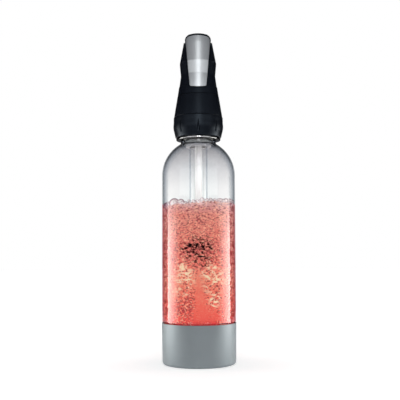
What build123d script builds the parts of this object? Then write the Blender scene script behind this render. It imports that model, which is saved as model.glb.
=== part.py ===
from build123d import *

import math
import os

# Soda siphon: a carbonating bottle with a twist-and-vent head.
# Millimetres, +Z up, the lever faces -Y, the origin is the centre of the base on the table.

# --- fits and clearances -------------------------------------------------------------------
bond_gap = 0.1              # between two pieces that are fixed to each other
running_fit = 0.08          # radial, a shaft in its bore
free_gap = 0.4              # between pieces that move past each other
rub_gap = 0.3               # between flat faces that turn on each other
seat_gap = 0.1              # between a seal and the flat face that it closes
reach = 80.0                # cutting tools reach this far, past every side of the head

# --- bottle --------------------------------------------------------------------------------
bottle_radius = 42.2
bottle_wall = 1.2
bottle_floor = 3.1          # lowest point of the round bottom, inside the base cup
shoulder_height = 214.2     # where the straight side ends and the half ball begins
neck_radius = 20.3          # below the support flange
neck_length = 4.2
neck_blend = 2.5
neck_bore = 16.9
support_flange_radius = 25.6
support_flange_thickness = 2.2
support_flange_round = 0.66
finish_radius = 19.6        # root of the thread
finish_length = 17.9        # from the support flange to the rim

# --- thread of the neck and the collar -----------------------------------------------------
thread_pitch = 4.5
thread_depth = 1.4
thread_root_width = 2.3
thread_crest_width = 1.1
thread_turns = 2.3
thread_inset = 3.6          # from the support flange to the thread's first turn
thread_sunk = 0.3           # the ridge starts this far inside its wall
thread_play = 0.25          # added to the lower flank's gap, so that the upper one is close
collar_turns = 2.0          # to bring the head off the neck

# --- base cup ------------------------------------------------------------------------------
cup_margin = 2.55           # the cup's rim above the middle of the bottle's round foot
cup_flare = 0.25            # the cup's rim stands this far outside the bottle
cup_draft = 0.65            # the rim's radius less the foot's
cup_wall = 1.4
cup_corner = 3.5
cup_floor = 1.6
cup_recess = 1.2
cup_recess_radius = 30.0
cup_rib_count = 8
cup_rib_width = 1.6
cup_rib_inner_radius = 12.0
cup_rib_share = 0.7         # height of the ribs as a share of the cup's

# --- drink ---------------------------------------------------------------------------------
fill_height = 183.0

# --- neck insert, gasket and tube nut ------------------------------------------------------
gasket_height = 1.5
gasket_inset = 0.2          # inside the rim at both of its edges
insert_plug_length = 24.5   # below the rim
insert_clearance = 0.3
insert_flange_overhang = 2.2   # outside the boss, under the collar's lip
insert_flange_height = 2.4
insert_boss_radius = 17.5
chimney_radius = 11.5
chimney_height = 14.4
chamber_radius = 8.6
chamber_depth = 10.5        # below the rim
web_thickness = 3.0         # between the chamber and the tube's socket
tube_seal_gap = 1.0         # left above the tube's flange for its sealing ring
tube_seal_inset = 1.6
vent_port_radius = 1.1
vent_port_rise = 2.5        # above the chamber's floor
vent_cross_radius = 0.8     # of the short hole from the port into the chamber
nut_head_height = 3.0
nut_head_overhang = 1.4
nut_slot_count = 6
nut_slot_width = 2.4
nut_slot_depth = 1.2

# --- screw collar --------------------------------------------------------------------------
collar_gap = 0.6            # above the support flange
collar_edge = 0.6
collar_bottom_radius = 26.5
collar_waist_rise = 5.6     # rises are from the collar's lower edge
collar_waist_radius = 27.7
collar_belly_rise = 11.8
collar_belly_radius = 29.25
collar_upper_rise = 17.4
collar_upper_radius = 28.6
collar_top_radius = 28.2
collar_lip = 2.3
grip_count = 8
grip_rise = 4.8
grip_height = 13.0
grip_bottom_radius = 1.9
grip_top_radius = 0.35
grip_inset = 0.1            # middle of the notch inside the collar's upper radius

# --- cone housing and bearing plate --------------------------------------------------------
cone_step = 0.1             # the cone starts this far inside the collar's top
cone_height = 24.2
cone_top_radius = 24.15
cone_wall = 2.2
cone_floor = 3.0
plate_thickness = 2.9
plate_depth = 0.3           # below the rim of the cone
post_circle = 18.4
post_radius = 2.8
post_sunk = 0.5
cone_screw_circle = 14.2
screw_count = 3
screw_shank_radius = 1.3
screw_head_radius = 2.3
screw_head_height = 1.6
screw_slot_width = 0.6
screw_slot_depth = 0.7
cone_screw_length = 11.0
plate_screw_length = 9.0

# --- valve core ----------------------------------------------------------------------------
core_rise = 3.5             # its lower end above the bottle's rim
core_flange_radius = 15.0
core_flange_height = 3.3
core_neck_radius = 13.1
core_top_radius = 10.0
core_spindle = 12.1         # length above its shoulder
core_flat = 1.0             # depth of the key flats on the spindle
oring_section = 0.75        # radius of the ring's round section
core_oring_drop = 6.8       # below the top of the chimney
rod_thread_lead = 9.0
rod_thread_depth = 1.0
rod_thread_root_width = 2.4
rod_thread_crest_width = 1.4
rod_thread_play = 0.3
rod_thread_rise = 5.5       # above the core's lower end
rod_thread_turns = 1.1
rod_end_rise = 18.0         # top of the rod above the core's lower end
rod_end_gap = 1.6
rod_bore_play = 0.3
vent_passage_radius = 2.4
valve_chamber_radius = 4.4
core_nut_height = 5.0
core_nut_radius = 14.5
core_nut_notch = 3.0
core_nut_notch_count = 4

# --- vent valve ----------------------------------------------------------------------------
seat_rise = 4.0             # valve seat above the core's shoulder
bush_radius = 7.0
bush_head_radius = 8.6
bush_head_height = 4.0
bush_bore = 2.6
stem_radius = 1.9
stem_head_radius = 3.9
stem_head_height = 2.0
stem_button_radius = 2.4
stem_button_height = 2.5
stem_button_crown = 1.0     # the button's top falls this much to its edge
stem_tip_radius = 0.8
vent_seal_height = 1.5
spring_radius = 3.1         # to the middle of the wire
spring_wire = 0.35          # radius of the wire
spring_turns = 5.0
spring_closed_height = 8.8  # with the lever pressed

# --- band ring and handle housing ----------------------------------------------------------
band_gap = 0.6
band_height = 10.2
band_bottom_radius = 23.95
band_top_radius = 22.42
band_wall = 2.4
band_floor = 2.0
handle_seam = 0.5
handle_step = 0.52          # the handle starts this far inside the band
waist_rise = 13.1           # rises are from the handle's lower edge
waist_radius = 20.1
bulge_rise = 27.8
bulge_radius = 21.35
handle_height = 55.1
handle_top_radius = 16.3
handle_wall = 2.4
handle_floor = 3.0
spigot_depth = 6.0
roof_thickness = 2.4
roof_front = -1.5           # the roof covers what lies behind this
roof_rise = 53.1            # at the roof's front edge
roof_crown = 36.0           # radius of its curve from front to back
roof_crown_front = 12.0     # the middle of that curve lies this far in front of the axis
slot_rise = 17.6            # the lever's slot goes through the wall above this
handle_turn = 120.0         # degrees, from the pierced charger to the released one

# --- lever ---------------------------------------------------------------------------------
pivot_front = 11.5          # the pivot lies this far in front of the axis
lever_tilt = 14.0           # degrees that it swings
lever_drop = 3.7            # the cover's lower end below the handle's lower edge
cover_height = 62.7
lever_bottom_half_width = 10.1
lever_spread = 0.0858       # half width gained per millimetre of height
lever_top_corner = 3.6
lever_top_arch = 1.6
lever_bottom_arch = 1.0
lever_section_half_width = 16.4
lever_bottom_proud = 2.1    # the cover's front outside the band or the handle, from its foot up
lever_waist_proud = 1.6
lever_bulge_proud = 1.35
lever_upper_front = 18.4    # the cover's front from the axis, above the cheeks
lever_upper_rise = 50.1
lever_top_front = 14.6
lever_bottom_crown = 24.0   # radius of its curve across, from its foot up
lever_waist_crown = 21.0
lever_bulge_crown = 22.0
lever_upper_crown = 20.0
lever_overrun = 5.0         # the curved front is drawn this far past both ends
cover_thickness = 1.2
tail_thickness = 1.2        # of the core behind the cover, below the pivot
core_rim = 0.8              # the core shows this much around the cover
core_rim_top = 1.1          # and this much more above it
core_back_top = 9.8         # back of the core, in front of the axis
core_back_upper = 12.3
pin_radius = 1.5
pin_half_length = 17.4
arm_half_width = 5.0
arm_overshoot = 4.0         # beyond the axis of the bottle
arm_height = 4.6
arm_gap = 0.3
boss_radius = 4.4

# --- push rod, charger and tube ------------------------------------------------------------
tube_radius = 10.5
tube_wall = 1.1
tube_flange_radius = 12.7
tube_flange_height = 2.0
rod_radius = 4.0
rod_wall = 1.2
rod_flat = 0.5              # depth of the flat that stops the rod from turning
rod_flat_margin = 2.5       # the flat is this much longer than it needs at both ends
charger_radius = 9.1
charger_length = 65.5
charger_neck_radius = 4.4
charger_neck_length = 7.0
charger_shoulder = 8.0
charger_wall = 1.5
charger_hole = 1.2
rod_foot_radius = 8.0
rod_foot_height = 7.0       # above the top of the charger
rod_foot_socket = 3.0
rod_foot_gap = 0.15

# --- diffuser ------------------------------------------------------------------------------
cap_bottom = 66.0
cap_wall = 1.8
cap_height = 22.0
cap_floor = 1.6
cap_edge = 0.8
cap_chamber_height = 2.4
cap_hole_count = 6
cap_hole_radius = 0.6
cap_hole_circle = 4.0
cap_rib_count = 12
pin_block_height = 3.8
pin_boss_radius = 6.5
pin_boss_height = 5.0
needle_radius = 0.9
needle_bore = 0.3
needle_tip_radius = 0.4
needle_reach = 3.4
pin_gasket_radius = 5.0
pin_gasket_height = 2.4
check_disc_radius = 5.2
check_disc_height = 0.9
check_stem_radius = 1.2


def ball_height(ball_radius, at_radius):
    """How far above its centre a ball has shrunk to a radius."""
    return math.sqrt(ball_radius**2 - at_radius**2)


# --- bottle and cup, worked out ------------------------------------------------------------
cup_top_radius = bottle_radius + cup_flare
cup_foot_radius = cup_top_radius - cup_draft
cup_bore = cup_top_radius - cup_wall
bottle_foot_radius = cup_bore - 2 * bond_gap
cup_height = bottle_floor + bottle_foot_radius + cup_margin
step_bottom = cup_height + rub_gap
step_top = step_bottom + bottle_radius - bottle_foot_radius
neck_start = shoulder_height + ball_height(bottle_radius, neck_radius)
flange_low = neck_start + neck_length
flange_high = flange_low + support_flange_thickness
rim_height = flange_high + finish_length
thread_start = flange_high + thread_inset

# --- head, from the neck up ----------------------------------------------------------------
plug_radius = neck_bore - insert_clearance
insert_bottom = rim_height - insert_plug_length
chamber_floor = rim_height - chamber_depth
tube_socket_top = chamber_floor - web_thickness
tube_socket_radius = tube_flange_radius + 5 * bond_gap
vent_port_offset = (tube_socket_radius + plug_radius) / 2
vent_port_height = chamber_floor + vent_port_rise
nut_bottom = insert_bottom - bond_gap - nut_head_height
nut_head_radius = tube_socket_radius + nut_head_overhang
insert_flange_low = rim_height + gasket_height + seat_gap
insert_flange_high = insert_flange_low + insert_flange_height
lip_bottom = insert_flange_high + rub_gap
collar_bottom = flange_high + collar_gap
collar_top = lip_bottom + collar_lip
collar_bore = finish_radius + thread_depth + free_gap
head_travel = thread_pitch * collar_turns
cone_bottom = collar_top + rub_gap
cone_inner_floor = cone_bottom + cone_floor
cone_bottom_radius = collar_top_radius - cone_step
cone_top = cone_bottom + cone_height
cone_slope = (cone_bottom_radius - cone_top_radius) / cone_height
chimney_top = cone_bottom + chimney_height
plate_top = cone_top - plate_depth
plate_bottom = plate_top - plate_thickness
core_flange_top = plate_bottom - rub_gap
band_bottom = cone_top + band_gap
band_top = band_bottom + band_height
band_inner_radius = band_top_radius - band_wall
handle_bottom = band_top + handle_seam
handle_bottom_radius = band_top_radius - handle_step
handle_floor_top = handle_bottom + handle_floor
waist_height = handle_bottom + waist_rise
bulge_height = handle_bottom + bulge_rise
handle_top = handle_bottom + handle_height
roof_height = handle_bottom + roof_rise
slot_bottom = handle_bottom + slot_rise
spigot_radius = band_inner_radius - bond_gap

# --- valve, worked out ---------------------------------------------------------------------
core_bottom = rim_height + core_rise
core_shoulder = handle_bottom - bond_gap
core_top = core_shoulder + core_spindle
core_oring_height = chimney_top - core_oring_drop
rod_thread_start = core_bottom + rod_thread_rise
rod_travel = rod_thread_lead * handle_turn / 360
rod_top = core_bottom + rod_end_rise
rod_bore_top = rod_top + rod_travel + rod_end_gap
arm_bottom = bulge_height - arm_gap
stem_travel = pivot_front * math.radians(lever_tilt)
stem_top = arm_bottom - arm_gap
seat_height = core_shoulder + seat_rise
seal_top = seat_height - seat_gap
stem_head_top = seal_top - vent_seal_height - seat_gap
stem_head_bottom = stem_head_top - stem_head_height
valve_chamber_floor = stem_head_bottom - stem_travel - spring_closed_height

# --- lever, worked out ---------------------------------------------------------------------
lever_bottom = handle_bottom - lever_drop
lever_top = lever_bottom + cover_height
lever_upper_height = handle_bottom + lever_upper_rise
lever_bottom_front = band_bottom_radius + lever_bottom_proud - (lever_bottom - band_bottom) * (
    (band_bottom_radius - band_top_radius) / band_height
)
lever_waist_front = waist_radius + lever_waist_proud
lever_bulge_front = bulge_radius + lever_bulge_proud

# --- tube and diffuser, worked out ---------------------------------------------------------
cap_radius = tube_radius + bond_gap + cap_wall
pin_block_bottom = cap_bottom + cap_floor + cap_chamber_height + bond_gap
pin_block_top = pin_block_bottom + pin_block_height
pin_boss_top = pin_block_top + pin_boss_height
needle_bottom = pin_block_bottom + pin_block_height / 2
tube_bottom = pin_block_top + bond_gap
tube_top = tube_socket_top - tube_seal_gap
tube_flange_bottom = tube_top - tube_flange_height
charger_bottom = pin_boss_top + pin_gasket_height + 2 * seat_gap
charger_top = charger_bottom + charger_length
dome_height = charger_top - charger_radius
foot_top = charger_top + rod_foot_height


# --- small helpers -------------------------------------------------------------------------
def turned(*points):
    """Solid turned about the vertical axis from (radius, height) corners."""
    return revolve(Plane.XZ * make_face(Polyline(*points, close=True)), Axis.Z)


def ring(inner, outer, low, high):
    """Plain ring between two radii and two heights."""
    return turned((inner, low), (outer, low), (outer, high), (inner, high))


def shaft(radius, low, high):
    """Upright cylinder on the axis."""
    return Pos(0, 0, low) * Cylinder(radius, high - low, align=(Align.CENTER, Align.CENTER, Align.MIN))


def around(count, radius, first_angle=0.0):
    """Places evenly spaced on a circle about the axis."""
    return [Rot(0, 0, first_angle + 360 * i / count) * Pos(radius, 0, 0) for i in range(count)]


def oring(middle_radius, height, section=oring_section):
    """Round sealing ring."""
    return Pos(0, 0, height) * Torus(middle_radius, section)


def thread_ridge(root, depth, pitch, turns, start, widths, inward=False, left=False):
    """Helical ridge on a wall of radius root, standing out of it, or into it when inward."""
    out = -1 if inward else 1
    root_half = widths[0] / 2
    crest_half = widths[1] / 2
    path = Helix(pitch=pitch, height=pitch * turns, radius=root, lefthand=left)
    section = Polyline(
        (root - thread_sunk * out, -root_half),
        (root + depth * out, -crest_half),
        (root + depth * out, crest_half),
        (root - thread_sunk * out, root_half),
        close=True,
    )
    return Pos(0, 0, start) * sweep(Plane.XZ * make_face(section), path=path, is_frenet=True)


def screw(length, head_at):
    """Pan head screw pointing down, with a driver slot; the head stands on head_at."""
    body = shaft(screw_shank_radius, head_at - length, head_at)
    body += shaft(screw_head_radius, head_at, head_at + screw_head_height)
    slot = Pos(0, 0, head_at + screw_head_height) * Box(
        2 * screw_head_radius, screw_slot_width, 2 * screw_slot_depth
    )
    return body - slot


# --- bottle, cup and drink -----------------------------------------------------------------
def bottle_curve(inset, end_radius):
    """Side of the bottle as edges, a distance inside its outer face, floor to shoulder end."""
    foot = bottle_foot_radius - inset
    body = bottle_radius - inset
    foot_centre = bottle_floor + bottle_foot_radius
    end_angle = math.acos(end_radius / body)
    diagonal = math.sqrt(0.5)
    return [
        ThreePointArc(
            (0, foot_centre - foot),
            (foot * diagonal, foot_centre - foot * diagonal),
            (foot, foot_centre),
        ),
        Polyline((foot, foot_centre), (foot, step_bottom), (body, step_top), (body, shoulder_height)),
        ThreePointArc(
            (body, shoulder_height),
            (body * math.cos(end_angle / 2), shoulder_height + body * math.sin(end_angle / 2)),
            (end_radius, shoulder_height + ball_height(body, end_radius)),
        ),
    ]


def make_bottle():
    bore_start = shoulder_height + ball_height(bottle_radius - bottle_wall, neck_bore)
    neck = Polyline(
        (neck_radius, neck_start),
        (neck_radius, flange_low),
        (support_flange_radius, flange_low),
        (support_flange_radius, flange_high),
        (finish_radius, flange_high),
        (finish_radius, rim_height),
        (neck_bore, rim_height),
        (neck_bore, bore_start),
    )
    floor = Line((0, bottle_floor), (0, bottle_floor + bottle_wall))
    wall = bottle_curve(0, neck_radius) + [neck] + bottle_curve(bottle_wall, neck_bore) + [floor]
    bottle = revolve(Plane.XZ * make_face(wall), Axis.Z)
    corner = bottle.edges().group_by(lambda e: abs(e.center().Z - neck_start))[0]
    bottle = fillet(corner, neck_blend)
    rim_length = 2 * math.pi * support_flange_radius
    flange_edges = bottle.edges().filter_by(lambda e: abs(e.length - rim_length) < 0.1)
    bottle = fillet(flange_edges, support_flange_round)
    widths = (thread_root_width, thread_crest_width)
    return bottle + thread_ridge(
        finish_radius, thread_depth, thread_pitch, thread_turns, thread_start, widths
    )


def make_base_cup():
    corner = math.sqrt(0.5) * cup_corner
    centre = (cup_foot_radius - cup_corner, cup_corner)
    inner_floor = cup_recess + cup_floor
    side = [
        Polyline(
            (0, cup_recess),
            (cup_recess_radius, cup_recess),
            (cup_recess_radius + cup_recess, 0),
            (centre[0], 0),
        ),
        ThreePointArc(
            (centre[0], 0),
            (centre[0] + corner, centre[1] - corner),
            (cup_foot_radius, cup_corner),
        ),
        Polyline(
            (cup_foot_radius, cup_corner),
            (cup_top_radius, cup_height),
            (cup_bore, cup_height),
            (cup_bore, inner_floor + cup_corner),
            (cup_bore - cup_corner, inner_floor),
            (0, inner_floor),
            (0, cup_recess),
        ),
    ]
    cup = revolve(Plane.XZ * make_face(side), Axis.Z)
    rib_length = cup_bore - cup_rib_inner_radius
    rib_height = cup_height * cup_rib_share
    ribs = Part()
    for place in around(cup_rib_count, cup_rib_inner_radius + rib_length / 2):
        ribs += place * Pos(0, 0, inner_floor + rib_height / 2) * Box(rib_length, cup_rib_width, rib_height)
    ribs &= shaft(cup_bore, cup_recess, cup_height)
    bottle_space = Pos(0, 0, bottle_floor + bottle_foot_radius) * Sphere(bottle_foot_radius + bond_gap)
    bottle_space += shaft(bottle_foot_radius + bond_gap, bottle_floor + bottle_foot_radius, cup_height)
    return cup + (ribs - bottle_space)


def make_drink():
    inset = bottle_wall + bond_gap
    top_edge = shoulder_height + ball_height(bottle_radius - inset, neck_bore)
    foot = bottle_floor + inset
    closing = Polyline((neck_bore, top_edge), (0, top_edge), (0, foot))
    filling = revolve(Plane.XZ * make_face(bottle_curve(inset, neck_bore) + [closing]), Axis.Z)
    filling &= shaft(bottle_radius, 0, fill_height)
    cap_path_top = cap_bottom + cap_height + head_travel + free_gap
    filling -= shaft(cap_radius + free_gap, cap_bottom - free_gap, cap_path_top)
    return filling - shaft(tube_radius + free_gap, cap_bottom, fill_height)


# --- neck insert and what seals it ---------------------------------------------------------
def make_neck_gasket():
    low = rim_height + seat_gap
    return ring(neck_bore + gasket_inset, finish_radius - gasket_inset, low, low + gasket_height - seat_gap)


def screw_circle(length, head_at, circle, first_angle):
    screws = Part()
    for place in around(screw_count, circle, first_angle):
        screws += place * screw(length, head_at)
    return screws


def screw_holes(length, head_at, circle, first_angle, radius=screw_shank_radius + bond_gap):
    holes = Part()
    for place in around(screw_count, circle, first_angle):
        holes += place * shaft(radius, head_at - length - bond_gap, head_at)
    return holes


def make_neck_insert():
    insert_flange_radius = insert_boss_radius + insert_flange_overhang
    insert = turned(
        (tube_socket_radius, insert_bottom),
        (plug_radius, insert_bottom),
        (plug_radius, insert_flange_low),
        (insert_flange_radius, insert_flange_low),
        (insert_flange_radius, insert_flange_high),
        (insert_boss_radius, insert_flange_high),
        (insert_boss_radius, cone_bottom),
        (chimney_radius, cone_bottom),
        (chimney_radius, chimney_top),
        (chamber_radius, chimney_top),
        (chamber_radius, chamber_floor),
        (0, chamber_floor),
        (0, tube_socket_top),
        (tube_socket_radius, tube_socket_top),
    )
    rod_hole = shaft(rod_radius + running_fit, tube_socket_top, chamber_floor)
    flat_side = rod_radius - rod_flat + running_fit
    rod_hole -= Pos(0, flat_side + rod_radius, (tube_socket_top + chamber_floor) / 2) * Box(
        4 * rod_radius, 2 * rod_radius, 2 * web_thickness
    )
    insert -= rod_hole
    port_top = vent_port_height + vent_port_radius
    insert -= Pos(0, vent_port_offset, 0) * shaft(vent_port_radius, insert_bottom, port_top)
    cross_length = vent_port_offset - chamber_radius + vent_port_radius
    cross_middle = Pos(0, vent_port_offset - cross_length / 2, vent_port_height)
    insert -= cross_middle * Rot(90, 0, 0) * Cylinder(vent_cross_radius, cross_length)
    seal_middle = tube_flange_radius - tube_seal_inset
    seal_half = oring_section + bond_gap
    groove_top = tube_top + 2 * (seat_gap + oring_section)
    insert -= ring(seal_middle - seal_half, seal_middle + seal_half, tube_socket_top, groove_top)
    return insert - screw_holes(cone_screw_length, cone_inner_floor, cone_screw_circle, 30)


def make_tube_oring():
    return oring(tube_flange_radius - tube_seal_inset, tube_top + seat_gap + oring_section)


def make_tube_nut():
    top = tube_flange_bottom - seat_gap
    nut = turned(
        (tube_radius + bond_gap, nut_bottom),
        (nut_head_radius, nut_bottom),
        (nut_head_radius, nut_bottom + nut_head_height),
        (tube_socket_radius - bond_gap, nut_bottom + nut_head_height),
        (tube_socket_radius - bond_gap, top),
        (tube_radius + bond_gap, top),
    )
    for place in around(nut_slot_count, nut_head_radius):
        nut -= place * Pos(0, 0, nut_bottom) * Box(2 * nut_slot_depth, nut_slot_width, nut_head_height)
    return nut


# --- collar --------------------------------------------------------------------------------
def make_screw_collar():
    collar = turned(
        (collar_bore, collar_bottom),
        (collar_bottom_radius - collar_edge, collar_bottom),
        (collar_bottom_radius, collar_bottom + collar_edge),
        (collar_waist_radius, collar_bottom + collar_waist_rise),
        (collar_belly_radius, collar_bottom + collar_belly_rise),
        (collar_upper_radius, collar_bottom + collar_upper_rise),
        (collar_upper_radius, collar_top - 2 * collar_edge),
        (collar_top_radius, collar_top),
        (insert_boss_radius + free_gap, collar_top),
        (insert_boss_radius + free_gap, lip_bottom),
        (collar_bore, lip_bottom),
    )
    for place in around(grip_count, collar_upper_radius - grip_inset, -90):
        collar -= place * Pos(0, 0, collar_bottom + grip_rise) * Cone(
            grip_bottom_radius, grip_top_radius, grip_height, align=(Align.CENTER, Align.CENTER, Align.MIN)
        )
    widths = (thread_root_width, thread_crest_width)
    start = thread_start - thread_pitch / 2 + thread_play
    ridge = thread_ridge(
        collar_bore, thread_depth, thread_pitch, thread_turns, start, widths, inward=True
    )
    return collar + ridge


# --- cone and bearing plate ----------------------------------------------------------------
def cone_radius(height):
    """Outer radius of the cone at a height."""
    return cone_bottom_radius - cone_slope * (height - cone_bottom)


def make_cone_housing():
    cone = turned(
        (chimney_radius + bond_gap, cone_bottom),
        (cone_bottom_radius, cone_bottom),
        (cone_top_radius, cone_top),
        (cone_radius(cone_top) - cone_wall, cone_top),
        (cone_radius(cone_inner_floor) - cone_wall, cone_inner_floor),
        (chimney_radius + bond_gap, cone_inner_floor),
    )
    for place in around(screw_count, post_circle, 90):
        cone += place * shaft(post_radius, cone_inner_floor - post_sunk, plate_bottom - bond_gap)
    cone -= screw_holes(cone_screw_length, cone_inner_floor, cone_screw_circle, 30)
    return cone - screw_holes(plate_screw_length, plate_top - screw_head_height, post_circle, 90)


def make_bearing_plate():
    outer = cone_radius(plate_top) - cone_wall - bond_gap
    head_at = plate_top - screw_head_height
    plate = ring(core_neck_radius + running_fit, outer, plate_bottom, plate_top)
    plate -= screw_holes(plate_screw_length, head_at, post_circle, 90)
    for place in around(screw_count, post_circle, 90):
        plate -= place * shaft(screw_head_radius + bond_gap, head_at, plate_top)
    return plate


# --- valve core and its fixings ------------------------------------------------------------
def key_flats(radius, low, high, gap=0.0):
    """Round bar with two flats, on which the handle can't turn."""
    width = 2 * (radius - core_flat + gap)
    bar = shaft(radius + gap, low, high)
    return bar & Pos(0, 0, (low + high) / 2) * Box(width, 3 * radius, high - low)


def make_valve_core():
    shank = chamber_radius - running_fit
    rod_bore = rod_radius + rod_bore_play
    core = turned(
        (rod_bore, core_bottom),
        (shank, core_bottom),
        (shank, core_flange_top - core_flange_height),
        (core_flange_radius, core_flange_top - core_flange_height),
        (core_flange_radius, core_flange_top),
        (core_neck_radius, core_flange_top),
        (core_neck_radius, core_shoulder),
        (valve_chamber_radius, core_shoulder),
        (valve_chamber_radius, valve_chamber_floor),
        (vent_passage_radius, valve_chamber_floor),
        (vent_passage_radius, rod_bore_top),
        (rod_bore, rod_bore_top),
    )
    spindle = key_flats(core_top_radius, core_shoulder, core_top)
    spindle -= shaft(valve_chamber_radius, core_shoulder, core_top)
    spindle -= shaft(bush_radius, seat_height - bond_gap, core_top)
    core += spindle
    groove_floor = shank - 2 * oring_section - bond_gap
    groove_half = oring_section + bond_gap
    groove_low = core_oring_height - groove_half
    core -= ring(groove_floor, core_flange_radius, groove_low, core_oring_height + groove_half)
    widths = (rod_thread_root_width + 2 * rod_thread_play, rod_thread_crest_width + 2 * rod_thread_play)
    groove_start = rod_thread_start - rod_thread_lead
    groove_turns = (rod_bore_top - groove_start) / rod_thread_lead
    depth = rod_thread_depth + rod_thread_play
    return core - thread_ridge(
        rod_radius, depth, rod_thread_lead, groove_turns, groove_start, widths, left=True
    )


def make_core_oring():
    return oring(chamber_radius - running_fit - oring_section, core_oring_height)


def make_core_nut():
    low = handle_floor_top + bond_gap
    nut = ring(core_top_radius + bond_gap, core_nut_radius, low, low + core_nut_height)
    notch = Pos(0, 0, low + core_nut_height) * Box(core_nut_notch, core_nut_notch, core_nut_height)
    for place in around(core_nut_notch_count, core_nut_radius, 45):
        nut -= place * notch
    return nut


# --- vent valve ----------------------------------------------------------------------------
def make_vent_bush():
    bush = shaft(bush_radius - bond_gap, seat_height, core_top + bond_gap)
    head = extrude(RegularPolygon(bush_head_radius, 6), bush_head_height)
    bush += Pos(0, 0, core_top + bond_gap) * head
    return bush - shaft(bush_bore, seat_height, core_top + bond_gap + bush_head_height)


def make_vent_stem():
    return turned(
        (0, stem_head_bottom),
        (stem_head_radius, stem_head_bottom),
        (stem_head_radius, stem_head_top),
        (stem_radius, stem_head_top),
        (stem_radius, stem_top - stem_button_height),
        (stem_button_radius, stem_top - stem_button_height),
        (stem_button_radius, stem_top - stem_button_crown),
        (stem_tip_radius, stem_top),
        (0, stem_top),
    )


def make_vent_seal():
    return ring(stem_radius + bond_gap, stem_head_radius, stem_head_top + seat_gap, seal_top)


def make_vent_spring():
    low = valve_chamber_floor + seat_gap + spring_wire
    high = stem_head_bottom - seat_gap - spring_wire
    path = Helix(pitch=(high - low) / spring_turns, height=high - low, radius=spring_radius)
    wire = Plane(origin=path @ 0, z_dir=path % 0) * Circle(spring_wire)
    return Pos(0, 0, low) * sweep(wire, path=path, is_frenet=True)


# --- band ring and handle housing ----------------------------------------------------------
def make_band_ring():
    band = turned(
        (core_neck_radius + 2 * bond_gap, band_bottom),
        (band_bottom_radius, band_bottom),
        (band_top_radius, band_top),
        (band_inner_radius, band_top),
        (band_inner_radius, band_bottom + band_floor),
        (core_neck_radius + 2 * bond_gap, band_bottom + band_floor),
    )
    return band - tail_recess()


def make_handle_housing():
    taper = (handle_bottom_radius - waist_radius) / (waist_height - handle_bottom)
    floor_radius = handle_bottom_radius - taper * handle_floor - handle_wall
    outside = turned(
        (0, handle_bottom),
        (handle_bottom_radius, handle_bottom),
        (waist_radius, waist_height),
        (bulge_radius, bulge_height),
        (handle_top_radius, handle_top),
        (0, handle_top),
    )
    inside = turned(
        (0, handle_floor_top),
        (floor_radius, handle_floor_top),
        (waist_radius - handle_wall, waist_height),
        (bulge_radius - handle_wall, bulge_height),
        (handle_top_radius - handle_wall, handle_top),
        (0, handle_top),
    )
    crown_height = roof_height - ball_height(roof_crown, roof_front + roof_crown_front)
    crown_place = Pos(0, -roof_crown_front, crown_height) * Rot(0, 90, 0)
    below_roof = crown_place * Cylinder(roof_crown, reach)
    under_roof = crown_place * Cylinder(roof_crown - roof_thickness, reach)
    behind_front = Pos(0, roof_front + reach / 2, roof_height) * Box(reach, reach, reach / 2)
    roof = outside & (below_roof - under_roof) & behind_front
    below_roof += Pos(0, 0, crown_height - reach / 2) * Box(reach, reach, reach)
    housing = ((outside - inside) & below_roof) + roof
    spigot_end = handle_bottom - spigot_depth
    housing += ring(spigot_radius - handle_wall, spigot_radius, spigot_end, handle_floor_top)
    housing -= key_flats(core_top_radius, handle_bottom, handle_floor_top, bond_gap)
    slot_side = Pos(0, roof_front - reach / 2, slot_bottom + reach / 2) * Box(reach, reach, reach)
    housing -= lever_prism(core_rim + free_gap) & slot_side
    housing -= tail_recess()
    return housing - pivot_bar(pin_radius + bond_gap / 2, bulge_radius)


# --- lever ---------------------------------------------------------------------------------
def lever_half_width(height):
    """Half width of the lever's cover, seen from the front."""
    return lever_bottom_half_width + lever_spread * (height - lever_bottom)


def lever_prism(margin, extra_top=0.0):
    """Outline of the lever from the front, grown by a margin, as a bar along Y."""
    low = lever_bottom - margin + lever_bottom_arch
    high = lever_top + margin + extra_top - lever_top_arch
    low_half = lever_half_width(low) + margin
    high_half = lever_half_width(high) + margin
    sides = [
        Line((-low_half, low), (-high_half, high)),
        ThreePointArc((-high_half, high), (0, high + lever_top_arch), (high_half, high)),
        Line((high_half, high), (low_half, low)),
        ThreePointArc((low_half, low), (0, low - lever_bottom_arch), (-low_half, low)),
    ]
    face = make_face(sides)
    face = fillet(face.vertices().sort_by(Axis.Y)[-2:], lever_top_corner + margin)
    face = fillet(face.vertices().sort_by(Axis.Y)[:2], lever_bottom_arch + margin)
    return Pos(0, reach / 2, 0) * extrude(Plane.XZ * face, reach)


def lever_crown(inset):
    """All that lies behind the lever's curved front, moved back by an inset."""
    stations = [
        (lever_bottom - lever_overrun, lever_bottom_front, lever_bottom_crown),
        (waist_height, lever_waist_front, lever_waist_crown),
        (bulge_height, lever_bulge_front, lever_bulge_crown),
        (lever_upper_height, lever_upper_front, lever_upper_crown),
        (lever_top + lever_overrun, lever_top_front, lever_upper_crown),
    ]
    half = lever_section_half_width
    sections = []
    for height, front, crown in stations:
        edge = crown - front - ball_height(crown - inset, half)
        arc = ThreePointArc((-half, edge), (0, inset - front), (half, edge))
        back = Polyline((half, edge), (half, reach), (-half, reach), (-half, edge))
        sections.append(Pos(0, 0, height) * make_face([arc, back]))
    return loft(sections, ruled=True)


def tail_recess():
    """Shallow pocket in the handle and band behind the lower end of the lever."""
    depth = cover_thickness + bond_gap + tail_thickness + free_gap
    return lever_prism(core_rim + free_gap) - lever_crown(depth)


def pivot_bar(radius, half_length):
    """Cylinder across the handle, on the lever's pivot."""
    return Pos(0, -pivot_front, bulge_height) * Rot(0, 90, 0) * Cylinder(radius, 2 * half_length)


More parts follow.
